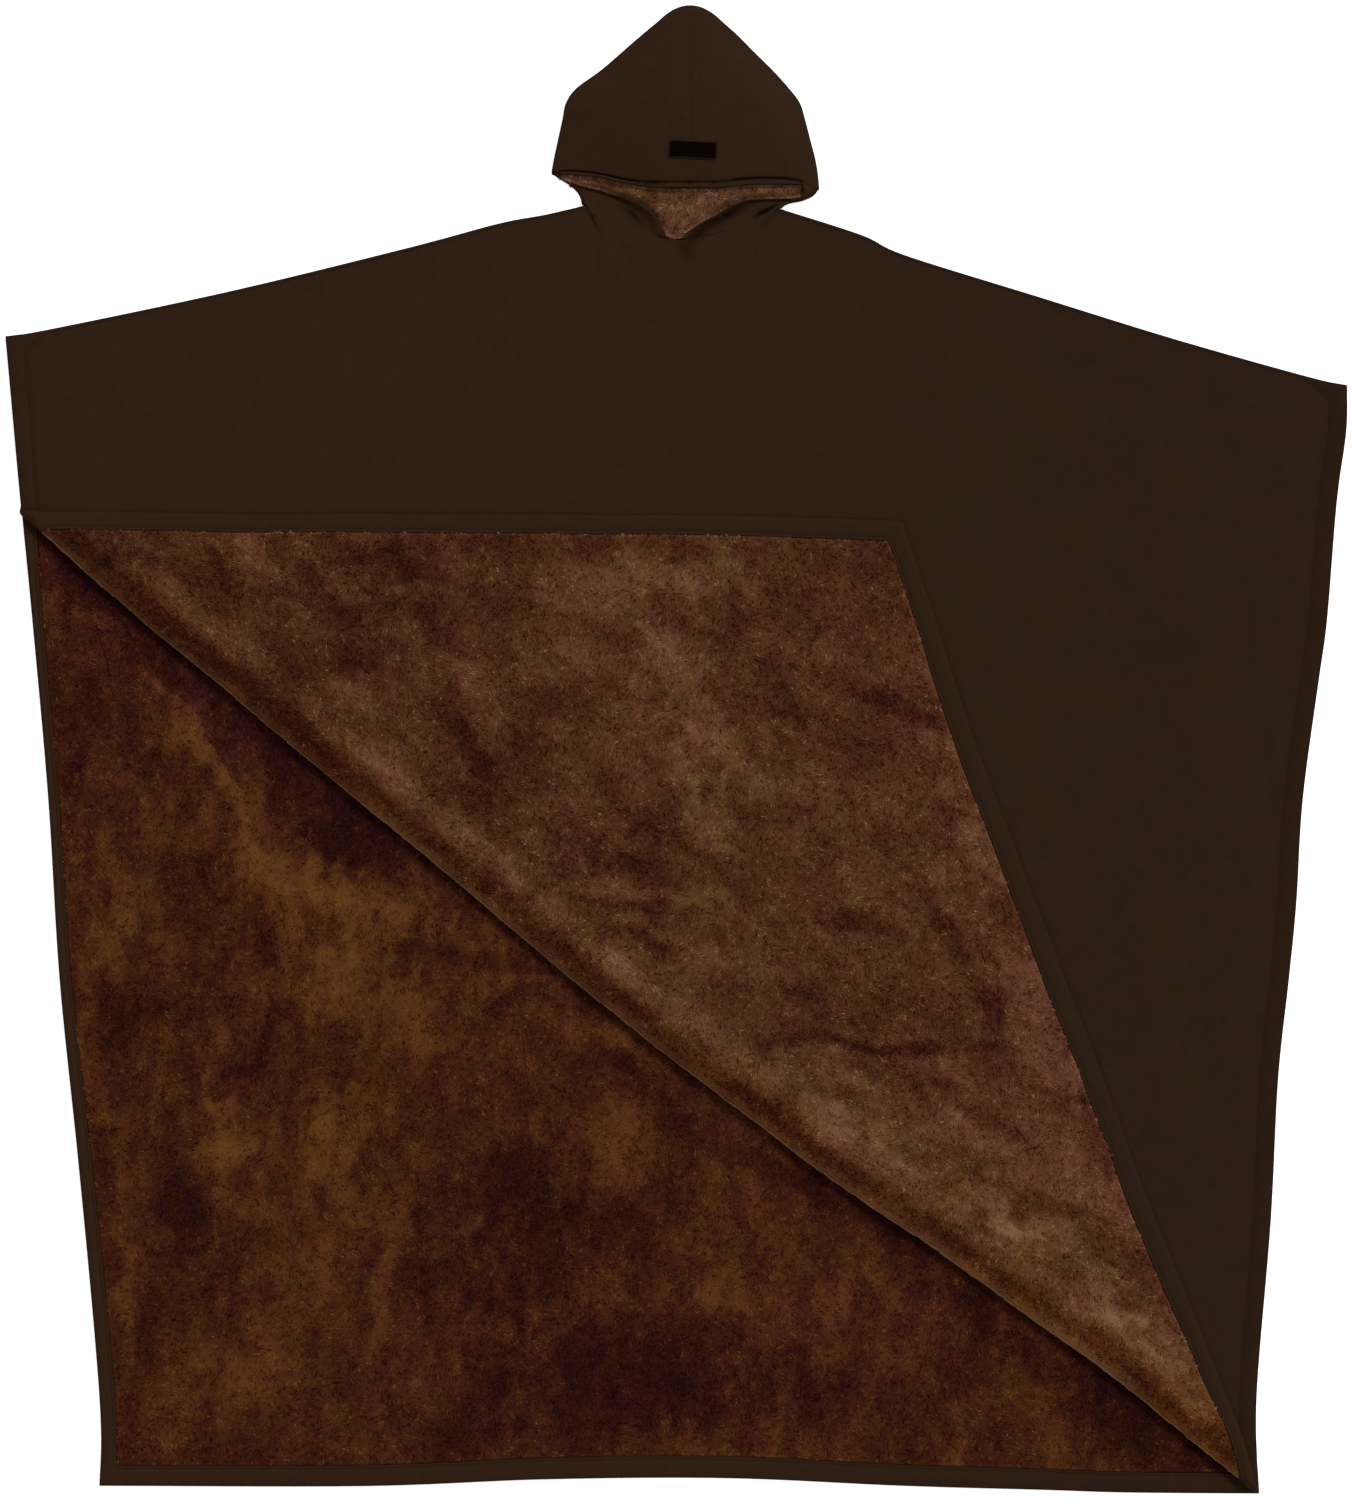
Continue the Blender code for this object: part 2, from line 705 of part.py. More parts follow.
def build_hood_layer(name, side, near, far, material, group):
    """Half of the hood between two depths, as one closed body."""
    columns = len(TOP_STEPS) + len(ROLL_ANGLES) + len(BACK_STEPS)
    way = -1 if side == "left" else 1
    grids = []
    for depth in (near, far):
        full = [hood_section(side, k, depth) for k in range(len(HOOD_ROWS))]
        peak = np.array([CENTRE + way * HALF_SEAM, PEAK_Y - depth, ROLL])
        lower = []
        for k in range(len(NECK_ROWS)):
            part = neck_section(side, k, full[0], depth)
            blank = np.full((FACE_COLUMN, 3), np.nan)
            lower.append(np.vstack([blank, part]))
        grids.append(np.array(lower + full + [np.tile(peak, (columns, 1))]))
    rows = len(grids[0])
    below = len(NECK_ROWS)

    def at(layer, i, j):
        return layer * rows * columns + i * columns + j

    def cell(i, j):
        return i >= below or j >= FACE_COLUMN

    faces = []
    edges = {}
    for i in range(rows - 1):
        for j in range(columns - 1):
            if not cell(i, j):
                continue
            corners = ((i, j), (i, j + 1), (i + 1, j + 1), (i + 1, j))
            cheek = i < below and j < len(TOP_STEPS) - 1
            for tri in ((0, 1, 3), (1, 2, 3)) if cheek else ((0, 1, 2), (0, 2, 3)):
                faces.append(tuple(at(0, *corners[k]) for k in tri))
                faces.append(tuple(at(1, *corners[k]) for k in reversed(tri)))
            for k in range(4):
                pair = (corners[k], corners[(k + 1) % 4])
                if pair[::-1] in edges:
                    del edges[pair[::-1]]
                else:
                    edges[pair] = True
    for start, end in edges:
        a, b = at(0, *start), at(0, *end)
        c, d = at(1, *end), at(1, *start)
        faces.append((a, d, c))
        faces.append((a, c, b))
    points = np.nan_to_num(np.vstack([grid.reshape(-1, 3) for grid in grids]))
    return solid(name, points, faces, material, group)


def build_hood(group, materials):
    for side in ("left", "right"):
        build_hood_layer(f"hood_{side}", side, 0.0, SHELL, materials["shell"], group)
        build_hood_layer(f"hood_lining_{side}", side, SHELL + GAP, SHEET, materials["hood_pile"], group)


def hood_top(x, y):
    """Height of the hood's outer face between the two rows that hold the strip."""
    side = "left" if x < CENTRE else "right"
    low = hood_section(side, 1, 0.0)[: len(TOP_STEPS)]
    high = hood_section(side, 2, 0.0)[: len(TOP_STEPS)]
    way = -1 if side == "left" else 1
    heights = []
    levels = []
    for section in (low, high):
        heights.append(np.interp(way * x, way * section[:, 0], section[:, 2]))
        levels.append(np.interp(way * x, way * section[:, 0], section[:, 1]))
    t = (y - levels[0]) / (levels[1] - levels[0])
    return heights[0] + (heights[1] - heights[0]) * t


def build_strip(group, materials):
    """The hook-and-loop strip, following the hood's face one gap above it."""
    angle = np.radians(STRIP_TURN)
    u = np.array([np.cos(angle), np.sin(angle)])
    v = np.array([-u[1], u[0]])
    points = []
    for along, half in STRIP_COLUMNS:
        for across in (-half, half):
            x, y = np.array(STRIP_CENTRE) + along * u + across * v
            if along == 0:
                y += (CENTRE - x) * np.tan(angle)
                x = CENTRE
            low = hood_top(x, y) + GAP
            points.append((x, y, low))
            points.append((x, y, low + STRIP_THICKNESS))
    faces = []
    for k in range(len(STRIP_COLUMNS) - 1):
        a, b = 4 * k, 4 * (k + 1)
        ring_a = (a, a + 1, a + 3, a + 2)
        ring_b = (b, b + 1, b + 3, b + 2)
        for m in range(4):
            after = (m + 1) % 4
            faces.append((ring_a[m], ring_a[after], ring_b[after], ring_b[m]))
    faces.append((0, 2, 3, 1))
    last = 4 * (len(STRIP_COLUMNS) - 1)
    faces.append((last, last + 1, last + 3, last + 2))
    solid("hood_strip", np.array(points), faces, materials["strip"], group)


def main():
    clear_scene()
    group = collection_named("hooded_poncho")
    materials = {name: material_named(name) for name in COLOURS}
    build_back(group, materials)
    build_front(group, materials)
    build_hood(group, materials)
    build_strip(group, materials)


main()
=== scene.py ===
"""Looks of a hooded, plush-lined poncho laid flat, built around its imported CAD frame.

Tables are in millimetres in the CAD's frame: +Y runs from hem to hood, and the floor is z = 0.
"""

import math

import bpy
import numpy as np
from bpy.props import FloatProperty, FloatVectorProperty, PointerProperty
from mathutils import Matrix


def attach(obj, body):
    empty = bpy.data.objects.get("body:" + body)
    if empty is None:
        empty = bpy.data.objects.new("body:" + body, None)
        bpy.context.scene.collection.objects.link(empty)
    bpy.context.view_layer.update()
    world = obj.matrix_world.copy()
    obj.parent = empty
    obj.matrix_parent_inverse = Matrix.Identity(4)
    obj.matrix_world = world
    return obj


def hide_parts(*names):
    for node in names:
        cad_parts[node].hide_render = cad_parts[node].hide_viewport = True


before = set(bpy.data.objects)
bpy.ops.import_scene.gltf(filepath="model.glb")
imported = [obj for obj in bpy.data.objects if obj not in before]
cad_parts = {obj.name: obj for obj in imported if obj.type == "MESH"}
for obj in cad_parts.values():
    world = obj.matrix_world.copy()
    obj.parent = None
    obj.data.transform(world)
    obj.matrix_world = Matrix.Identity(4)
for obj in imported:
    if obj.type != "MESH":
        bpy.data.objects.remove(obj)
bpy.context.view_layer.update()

bl_info = {
    "name": "Hooded poncho looks",
    "version": (1, 0, 0),
    "blender": (4, 5, 0),
    "location": "View3D > Sidebar > Poncho",
    "description": "Builds the cloth, pile, stitching, strip and studio of a hooded poncho",
    "category": "Object",
}

MM = 0.001

# Sides of the squares that hold the panels' cut and the hood's, and the step between the hood's points there
CUT_SQUARE = 1630.0
HOOD_SQUARE = 900.0
HOOD_STEP = 3.2

# Cloth, as in the CAD: the gap between the laid panels, and the height of both
GAP = 0.3
STACK = 8.3

# Fold of the front's lower left corner: inside radius, middle of its turn, ends of its straight line, how far
# past it the flap takes to come down, where the panel's corner crosses it, and how far the left, bottom and
# right edges run along it for each millimetre across
FOLD_RADIUS = 1.9
FOLD_MIDDLE = -math.pi * FOLD_RADIUS / 2
FOLD_START = np.array([-705.2, 261.9])
FOLD_END = np.array([629.3, -796.8])
TEARDROP = 58.0
CORNER_S = 1704.4
FOLD_ENTRY = 0.97
BOTTOM_RUN = 1.26
RIGHT_RUN = -0.673
# Sag of the fold under that line: along, sag
BOW = np.array(
    [
        (0, 0.0), (60, 4.6), (287, 11.4), (400, 15.2), (624, 19.5), (849, 25.3), (1012, 22.8),
        (1122, 20.0), (1278, 9.5), (1384, 4.0), (1489, -1.0), (1654, -1.5), (1720, 0.0),
    ]
)

# Outline of both panels, a little outside the CAD's, anticlockwise from above: x, y
LEFT_SHOULDER = (
    (-96.25, 588.6), (-140.4, 578.4), (-190.0, 569.0), (-286.2, 543.2), (-480.6, 495.7), (-675.0, 454.7),
    (-723.6, 447.1),
)
LEFT_SIDE = (
    (-723.6, 447.1), (-707.4, 270.0), (-694.9, 140.4), (-677.6, -54.0), (-665.4, -248.4),
    (-645.4, -442.8), (-627.2, -637.2), (-620.7, -734.4), (-622.4, -795.6),
)
BOTTOM = (
    (-622.4, -795.6), (-334.8, -795.8), (-140.4, -788.6), (54.0, -787.3),
    (248.4, -795.6), (400.0, -800.0), (491.4, -802.8), (631.6, -803.8),
)
RIGHT_SIDE = (
    (631.6, -803.8), (628.2, -702.0), (643.8, -507.6), (651.6, -356.0), (663.2, -248.4), (671.6, -162.0),
    (678.2, -54.0), (695.6, 75.6), (704.5, 140.0), (715.2, 270.0), (725.4, 345.0), (726.2, 394.2),
)
RIGHT_SHOULDER = (
    (726.2, 394.2), (685.8, 402.8), (540.0, 443.9), (394.2, 489.2),
    (248.4, 534.6), (202.0, 556.2), (111.45, 585.4),
)
FRONT_NECK = (
    (111.45, 585.4), (78.8, 558.4), (43.2, 540.0), (6.5, 531.4),
    (-34.6, 541.1), (-73.4, 559.4), (-96.25, 588.6),
)
BACK_NECK = (
    (111.45, 585.4), (78.8, 559.4), (44.0, 546.0), (6.5, 542.2),
    (-28.0, 546.0), (-64.0, 560.0), (-96.25, 588.6),
)
FLAP_TOP = ((-672.0, 257.8), (-513.0, 256.4), (-189.0, 255.2), (81.0, 252.9), (246.2, 248.4))
FLAP_SIDE = (
    (246.2, 248.4), (328.3, 0.0), (410.4, -216.0), (491.4, -432.0), (530.0, -534.6),
    (562.0, -612.4), (594.0, -690.1), (609.4, -728.8), (620.5, -765.0),
)

# Visible hem widths, by the distance along each edge: along, width
LEFT_HEM = (
    (0, 22.0), (150, 20.0), (190, 15.5), (260, 11.5), (450, 11.0), (700, 12.5), (950, 15.0), (1250, 17.0),
)
BOTTOM_HEM = ((0, 22.0), (600, 23.5), (1255, 22.0))
FLAP_TOP_HEM = ((0, 22.0), (150, 20.0), (230, 19.0), (700, 20.5), (1150, 22.0))
FLAP_SIDE_HEM = ((0, 22.0), (500, 22.0), (900, 21.0), (1020, 18.0), (1085, 14.0))
SIDE_HEM = ((0, 21.0), (600, 23.0), (1250, 22.0))
HEM = 22.0
SEAM_HEM = 6.0
SEAM_TAPER = 40.0

# Soft swells of the loose cloth, as in the CAD: centre x, y, turn, half length, half width, lift
FRONT_SWELLS = (
    (560.0, 120.0, 100.0, 210.0, 42.0, 2.4), (-330.0, 390.0, 15.0, 190.0, 38.0, 2.2),
    (330.0, 385.0, -18.0, 170.0, 38.0, 2.4), (40.0, 400.0, 84.0, 60.0, 36.0, 2.0),
)
FLAP_SWELLS = (
    (-110.0, 60.0, -34.0, 260.0, 60.0, 3.2), (215.0, -330.0, -52.0, 240.0, 60.0, 3.4),
    (120.0, -40.0, -12.0, 150.0, 60.0, 2.6), (-420.0, 150.0, -20.0, 140.0, 40.0, 2.4),
)

# Creases placed one by one: x, y, turn, half length, half width, lift
BACK_CREASES = (
    (-530.0, 25.0, -52.0, 75.0, 9.0, 2.4), (-470.0, -85.0, -76.0, 60.0, 8.0, 2.0),
    (-500.0, -10.0, -50.0, 90.0, 12.0, -1.6), (-560.0, 120.0, -60.0, 60.0, 14.0, 1.2),
    (-215.0, -228.0, -7.0, 75.0, 16.0, -1.6), (-230.0, -205.0, -7.0, 90.0, 14.0, 1.6),
    (-420.0, -330.0, -80.0, 120.0, 22.0, 1.4), (-60.0, -470.0, -55.0, 140.0, 26.0, 1.6),
    (-330.0, -560.0, 80.0, 130.0, 24.0, 1.2), (180.0, -620.0, -30.0, 160.0, 26.0, 1.4),
)
FLAP_CREASES = (
    (-35.0, -175.0, -28.0, 70.0, 9.0, -1.8), (10.0, -200.0, -12.0, 60.0, 8.0, -1.6),
    (215.0, -305.0, -4.0, 140.0, 8.0, -1.8), (220.0, -285.0, -4.0, 150.0, 12.0, 1.6),
    (-215.0, 110.0, -35.0, 110.0, 18.0, -1.2), (130.0, 60.0, -65.0, 120.0, 20.0, 1.2),
    (330.0, -520.0, -50.0, 130.0, 14.0, 1.6), (420.0, -560.0, -55.0, 110.0, 10.0, -1.2),
    (-560.0, 215.0, -12.0, 60.0, 12.0, 1.2),
)
SHELL_CREASES = (
    (-95.0, 560.0, -62.0, 34.0, 5.0, -1.6), (-80.0, 545.0, -66.0, 40.0, 8.0, 1.4),
    (92.0, 520.0, 60.0, 40.0, 9.0, 1.0), (14.0, 478.0, 35.0, 26.0, 7.0, -1.0),
    (470.0, 420.0, -17.0, 150.0, 12.0, 1.0), (-560.0, 470.0, 12.0, 120.0, 10.0, 1.0),
    (640.0, 60.0, 97.0, 240.0, 9.0, 0.9), (240.0, 300.0, -10.0, 190.0, 30.0, 1.1),
    (-300.0, 320.0, 4.0, 260.0, 26.0, 0.9), (520.0, -280.0, 98.0, 230.0, 22.0, 1.1),
)

# Broad soft patches where the nap lies lighter or darker: x, y, turn, half length, half width, tone
FLAP_PATCHES = (
    (-475, 173, -60, 32, 13, -0.6), (-373, 162, -40, 49, 15, -0.6), (-292, 189, -20, 43, 15, -0.7),
    (-265, 130, -50, 43, 15, -0.7), (-327, 97, 30, 32, 13, -0.5), (-221, 12, -60, 75, 24, -0.8),
    (-167, -11, -30, 54, 19, -0.4), (-240, -60, -40, 52, 18, -0.9), (-38, -124, -20, 59, 24, -0.9),
    (-97, -60, -35, 70, 18, 0.5), (-124, -140, 20, 43, 15, -0.4), (124, 54, -45, 32, 15, -0.5),
    (70, 119, -40, 32, 11, -0.4), (238, 49, 0, 43, 22, -0.9), (243, 205, -50, 43, 13, -0.4),
    (-38, -167, -5, 76, 8, -0.8), (-27, -202, -10, 38, 11, -0.8), (-113, 54, -20, 32, 13, -0.35),
    (194, -178, 0, 38, 11, -0.7), (297, -200, -60, 43, 13, -0.5), (340, -281, -70, 43, 11, -0.5),
    (221, -318, -2, 135, 8, -0.8), (151, -270, -20, 32, 15, -0.4), (416, -497, -10, 43, 13, -0.8),
    (270, -383, -60, 32, 11, -0.5), (459, -448, -40, 32, 11, -0.4), (-446, 205, -60, 27, 11, 0.8),
    (-535, 162, -35, 43, 13, 0.3), (-351, 54, -30, 38, 15, 0.5), (-81, 184, 10, 86, 32, 0.4),
    (5, 54, -60, 86, 43, 0.55), (70, -32, -30, 65, 27, 0.45), (-124, 119, -40, 43, 16, 0.2),
    (-16, -22, -50, 65, 15, 0.5), (200, 173, 0, 65, 22, 0.35), (286, -11, -65, 54, 17, 0.55),
    (351, -130, -60, 54, 17, 0.6), (385, -280, -66, 110, 26, 0.5), (440, -430, -66, 60, 18, 0.4),
    (81, -227, -20, 65, 19, 0.35), (-59, -243, -35, 49, 13, 0.6), (27, -319, -38, 65, 11, 0.5),
    (189, -356, -25, 76, 17, 0.55), (308, -432, -45, 54, 15, 0.6), (351, -502, -40, 38, 13, 0.9),
    (232, -432, -38, 65, 11, 0.5), (430, -560, -42, 90, 24, 0.4), (491, -626, -45, 65, 15, 0.6),
    (545, -702, -50, 43, 9, 0.5), (-189, -119, -35, 65, 11, 0.4), (-297, -22, -38, 65, 11, 0.4),
    (32, 176, -5, 70, 26, 0.6), (32, -72, -40, 60, 26, 0.55), (32, -150, -25, 64, 20, 0.5),
    (162, -72, -50, 60, 26, 0.5), (162, -392, -36, 75, 20, 0.6), (305, -150, -62, 70, 26, 0.5),
    (330, -60, -66, 60, 20, 0.3),
)
BACK_PATCHES = (
    (-405, -43, -35, 86, 32, -0.9), (-491, 38, -45, 65, 19, -0.5), (-340, -92, -20, 65, 24, -0.8),
    (-599, 119, -50, 54, 15, -0.4), (-653, 194, -60, 43, 13, -0.4), (-637, 76, -80, 43, 13, -0.5),
    (-567, 5, -80, 38, 17, -0.6), (-664, -22, 90, 54, 11, -0.4), (-524, -130, 80, 43, 22, -0.5),
    (-594, -292, 70, 43, 19, -0.7), (-446, -330, 60, 50, 22, -0.7), (-481, -340, -40, 43, 17, -0.3),
    (-443, -205, -75, 43, 11, -0.7), (-535, -508, 80, 54, 30, -0.8), (-621, -464, 90, 43, 13, -0.4),
    (-200, -470, 30, 65, 38, -0.7), (-124, -535, 20, 130, 60, -0.7), (-221, -702, 60, 65, 54, -0.55),
    (-38, -680, 0, 119, 65, -0.75), (-167, -270, -5, 76, 13, -0.5), (-211, -229, -8, 76, 9, -0.6),
    (69, -440, -35, 80, 14, -0.5), (150, -485, -35, 65, 12, -0.4), (221, -518, -38, 65, 22, -0.8),
    (92, -691, 10, 86, 43, -0.5), (351, -626, -35, 86, 26, -0.55), (481, -724, -35, 86, 24, -0.65),
    (-59, -356, -35, 65, 15, -0.6), (-486, -680, 80, 50, 34, 0.4), (-308, -670, 90, 54, 13, -0.3),
    (-227, -580, 80, 60, 36, -0.5), (162, -716, 10, 60, 26, -0.5), (-356, -394, 60, 60, 34, 0.9),
    (-356, -240, 20, 60, 30, 0.6), (-227, -240, 10, 60, 34, 0.3), (-486, -308, 80, 60, 26, 0.4),
    (-535, 32, -55, 67, 10, 1.1), (-626, 146, -20, 24, 9, 0.9), (-470, -54, -60, 43, 9, 0.7),
    (-373, -151, -15, 97, 28, 0.7), (-275, -194, -10, 97, 32, 0.5), (-459, -130, -75, 54, 15, 0.6),
    (-578, -140, 80, 76, 24, 0.5), (-621, -205, 85, 65, 15, 0.5), (-319, -281, -10, 97, 28, 0.6),
    (-124, -281, -30, 76, 15, 0.5), (-556, -356, 70, 54, 22, 0.4), (-491, -432, 70, 54, 24, 0.8),
    (-351, -475, -40, 76, 32, 0.75), (-405, -594, 70, 86, 28, 0.45), (-302, -540, 88, 130, 13, 0.6),
    (-545, -702, 80, 86, 26, 0.5), (-599, -594, 85, 65, 13, 0.45), (-59, -421, 70, 54, 26, 0.45),
    (49, -583, 60, 39, 28, 0.8), (178, -594, 50, 43, 22, 0.45), (240, -590, -30, 60, 12, 0.4),
    (275, -562, -30, 54, 19, 0.3), (362, -697, 20, 54, 24, 0.35), (-146, -432, 80, 65, 15, 0.3),
)

# Casts of the pile's colour: x, y, turn, half length, half width, golden above nil and rosy below it
FLAP_CASTS = (
    (535, -670, -50, 130, 40, 0.8), (-430, 130, -42, 170, 34, 0.5), (300, -470, -38, 230, 26, 0.4),
    (240, -560, -38, 200, 20, 0.4), (400, -290, -68, 210, 55, -0.9), (240, 120, -66, 110, 50, -0.4),
    (20, 50, -40, 130, 60, -0.2), (-60, -200, -38, 120, 30, 0.3),
)
BACK_CASTS = (
    (-360, -400, 75, 150, 45, 0.6), (-560, -200, 82, 160, 50, 0.4), (-350, -210, -12, 150, 40, 0.5),
    (-560, -640, 80, 120, 60, 0.4), (0, -660, 5, 300, 90, -0.9), (-420, -30, -38, 150, 30, -0.9),
    (-600, 120, -50, 110, 40, -0.6), (330, -600, -36, 140, 40, 0.3), (60, -560, 60, 70, 40, 0.3),
)

# Hood: x of its centre seam, radius of its side folds, power of its rise over the width, y of its peak, and
# how much of each half's width the face opening takes
CENTRE = 16.2
ROLL = STACK / 2
CROWN_POWER = 2.2
PEAK_Y = 805.0
FACE_SHARE = {"left": 0.985, "right": 0.887}
HOOD_ROWS = np.array(
    [
        # centre y, left side x, y, right side x, y, height
        (612.4, -133.4, 623.4, 155.8, 609.0, 21.0),
        (633.0, -131.1, 638.0, 152.6, 634.5, 24.5),
        (661.0, -126.2, 661.0, 146.0, 661.0, 27.0),
        (681.0, -121.8, 681.0, 140.8, 681.0, 27.0),
        (699.0, -118.0, 699.0, 135.2, 699.0, 26.0),
        (715.0, -107.0, 715.0, 123.4, 715.0, 24.0),
        (734.4, -80.6, 734.4, 105.9, 734.4, 21.0),
        (753.8, -58.0, 753.8, 86.2, 753.8, 17.5),
        (772.2, -36.9, 772.2, 68.0, 772.2, 14.0),
        (788.4, -17.4, 788.4, 50.0, 788.4, 11.0),
    ]
)
# The hood below its brim, from the neck seam up: the face opening's edge, the hood's side, how far the edge
# stands over the chest, how much of the neck seam's curve the row keeps, radius of its side fold
CHEEK_ROWS = {
    "left": np.array(
        [
            # edge x, edge y, side x, side y, lift, kept, roll
            (6.5, 531.4, -100.4, 588.6, 0.0, 1.0, 4.15),
            (-0.5, 550.8, -101.2, 591.5, 1.6, 0.85, 4.15),
            (-9.7, 555.0, -101.6, 594.0, 3.0, 0.7, 4.15),
            (-16.2, 570.2, -102.4, 596.5, 4.5, 0.5, 4.15),
            (-27.0, 582.1, -103.6, 599.0, 5.0, 0.35, 4.15),
            (-37.8, 588.6, -105.0, 601.5, 4.8, 0.25, 4.15),
            (-52.9, 595.1, -107.0, 604.0, 4.2, 0.12, 4.0),
            (-70.2, 600.5, -110.5, 607.2, 3.4, 0.05, 3.6),
            (-83.2, 604.3, -115.0, 610.8, 2.6, 0.0, 3.0),
            (-102.6, 608.6, -121.0, 614.6, 1.6, 0.0, 2.3),
            (-111.2, 611.3, -126.0, 618.0, 1.0, 0.0, 1.8),
            (-122.0, 616.1, -130.5, 621.0, 0.6, 0.0, 1.6),
        ]
    ),
    "right": np.array(
        [
            (6.5, 531.4, 115.6, 585.4, 0.0, 1.0, 4.15),
            (-0.5, 550.8, 116.6, 586.4, 1.6, 0.85, 4.15),
            (6.5, 551.9, 117.4, 587.2, 3.0, 0.7, 4.15),
            (14.0, 559.4, 118.2, 587.9, 4.2, 0.55, 4.15),
            (27.0, 568.1, 119.2, 588.5, 5.0, 0.4, 4.15),
            (42.1, 576.2, 120.2, 589.0, 5.0, 0.28, 4.15),
            (57.2, 585.4, 121.4, 589.5, 4.6, 0.15, 4.0),
            (74.5, 592.9, 123.0, 590.1, 4.0, 0.05, 3.6),
            (91.8, 594.5, 126.0, 590.9, 3.6, 0.0, 3.0),
            (113.4, 595.1, 130.5, 591.8, 3.2, 0.0, 2.4),
            (131.8, 596.2, 138.5, 593.6, 2.8, 0.0, 2.2),
            (138.8, 599.4, 149.0, 598.4, 2.8, 0.0, 2.8),
            (139.3, 604.8, 154.4, 604.4, 2.9, 0.0, 3.6),
        ]
    ),
}
# The brim: how far out from the centre, y of its stitched groove, y of its bound edge
BRIM_ROWS = {
    "left": np.array(
        [
            (0.0, 611.8, 605.4), (0.17, 611.8, 605.4), (0.28, 612.0, 606.3), (0.37, 612.6, 608.0),
            (0.45, 614.2, 610.2), (0.53, 616.7, 612.6), (0.64, 620.5, 616.4), (0.73, 623.2, 618.9),
            (0.86, 625.2, 620.6), (0.97, 625.6, 622.0), (1.0, 624.6, 622.4),
        ]
    ),
    "right": np.array(
        [
            (0.0, 611.8, 605.4), (0.2, 611.6, 605.4), (0.3, 612.8, 606.6), (0.37, 614.9, 607.9),
            (0.45, 616.0, 608.9), (0.58, 616.9, 609.6), (0.75, 616.6, 610.0), (0.885, 614.2, 610.4),
            (0.915, 613.0, 610.6), (1.0, 609.0, 608.0),
        ]
    ),
}
# Bound edge of the brim, from its underside round to the groove: share of its width, drop
BRIM_BINDING = (
    (0.5, 4.6), (0.85, 4.4), (1.0, 3.4), (1.04, 2.4), (1.0, 1.4),
    (0.88, 0.7), (0.7, 0.3), (0.45, 0.4), (0.2, 1.1),
)
# Shade that lies in creases of the shell: x, y, turn, half length, half width, depth of shade
SHADES = (
    (-45.4, 578.9, -46, 18, 4.5, 0.7), (57.0, 577.5, 29, 26, 4.5, 0.9), (24.0, 556.0, 38, 13, 5.0, 0.65),
    (12.0, 540.0, -50, 12, 6.0, 0.45), (-92.0, 575.5, -63, 19, 2.6, 1.0), (-88.0, 576.0, 0, 3, 2.6, 0.6),
    (96.0, 581.4, 27, 9, 2.0, 2.2), (106.9, 587.5, 25, 10, 1.8, 0.6), (99.4, 569.2, 40, 10, 4.0, 0.3),
    (-131.5, 624.0, 0, 3.5, 3.0, 0.9), (-22.7, 611.6, 0, 13, 1.8, 1.0), (16.2, 611.6, 0, 2.8, 1.8, 1.0),
    (42.1, 611.8, 0, 2.8, 1.8, 1.0), (10.8, 606.2, 0, 22, 1.0, 0.6), (16.2, 719.0, 90, 55, 1.0, 0.14),
    (26.5, 716.0, 91, 45, 1.1, 0.14),
)

# Hook tape on the hood
STRIP_CENTRE = (19.4, 646.4)
STRIP_TURN = math.radians(-2.4)
STRIP_LENGTH = 51.4
STRIP_WIDTH = 18.4
STRIP_THICKNESS = 1.6

# How far above the hood's face it lies, how far it is pressed, and how far its sides go down
STRIP_LIFT = 0.2
STRIP_PRESS = 0.3
STRIP_SINK = 0.4


# Curves and noise


def hermite(t, b, c, slope_b, slope_c):
    """Cubic from b to c with these slopes at its ends."""
    return (
        (2 * t**3 - 3 * t**2 + 1) * b
        + (t**3 - 2 * t**2 + t) * slope_b
        + (-2 * t**3 + 3 * t**2) * c
        + (t**3 - t**2) * slope_c
    )


def catmull(knots, spots):
    """Catmull-Rom curve through the knots, read at fractional knot numbers."""
    knots = np.asarray(knots, float)
    ends = np.vstack([2 * knots[0] - knots[1], knots, 2 * knots[-1] - knots[-2]])
    spots = np.clip(np.asarray(spots, float), 0, len(knots) - 1)
    k = np.minimum(spots.astype(int), len(knots) - 2)
    t = (spots - k)[:, None]
    a, b, c, d = ends[k], ends[k + 1], ends[k + 2], ends[k + 3]
    return hermite(t, b, c, (c - a) / 2, (d - b) / 2)


def fine(table, step=4.0):
    """Catmull-Rom curve through a table, with points about a step apart."""
    knots = np.array(table, float)
    gaps = np.linalg.norm(np.diff(knots, axis=0), axis=1)
    pieces = np.maximum(1, np.rint(gaps / step).astype(int))
    spots = np.concatenate([k + np.arange(n) / n for k, n in enumerate(pieces)] + [[len(knots) - 1]])
    return catmull(knots, spots)


def smoothed(points, rounds):
    """A run whose inner points move to the mean of their neighbours, a number of times."""
    points = points.copy()
    for _ in range(rounds):
        points[1:-1] = 0.5 * points[1:-1] + 0.25 * (points[:-2] + points[2:])
    return points


def ease(t):
    """From 0 to 1 as t goes from 0 to 1, with level ends."""
    t = np.clip(t, 0, 1)
    return t * t * (3 - 2 * t)


# Cells of the noise's square lattice, where its first octave starts, and how far on each next one does
LATTICE = 256
FIRST_CELL = 1000
OCTAVE_SHIFT = 37.7


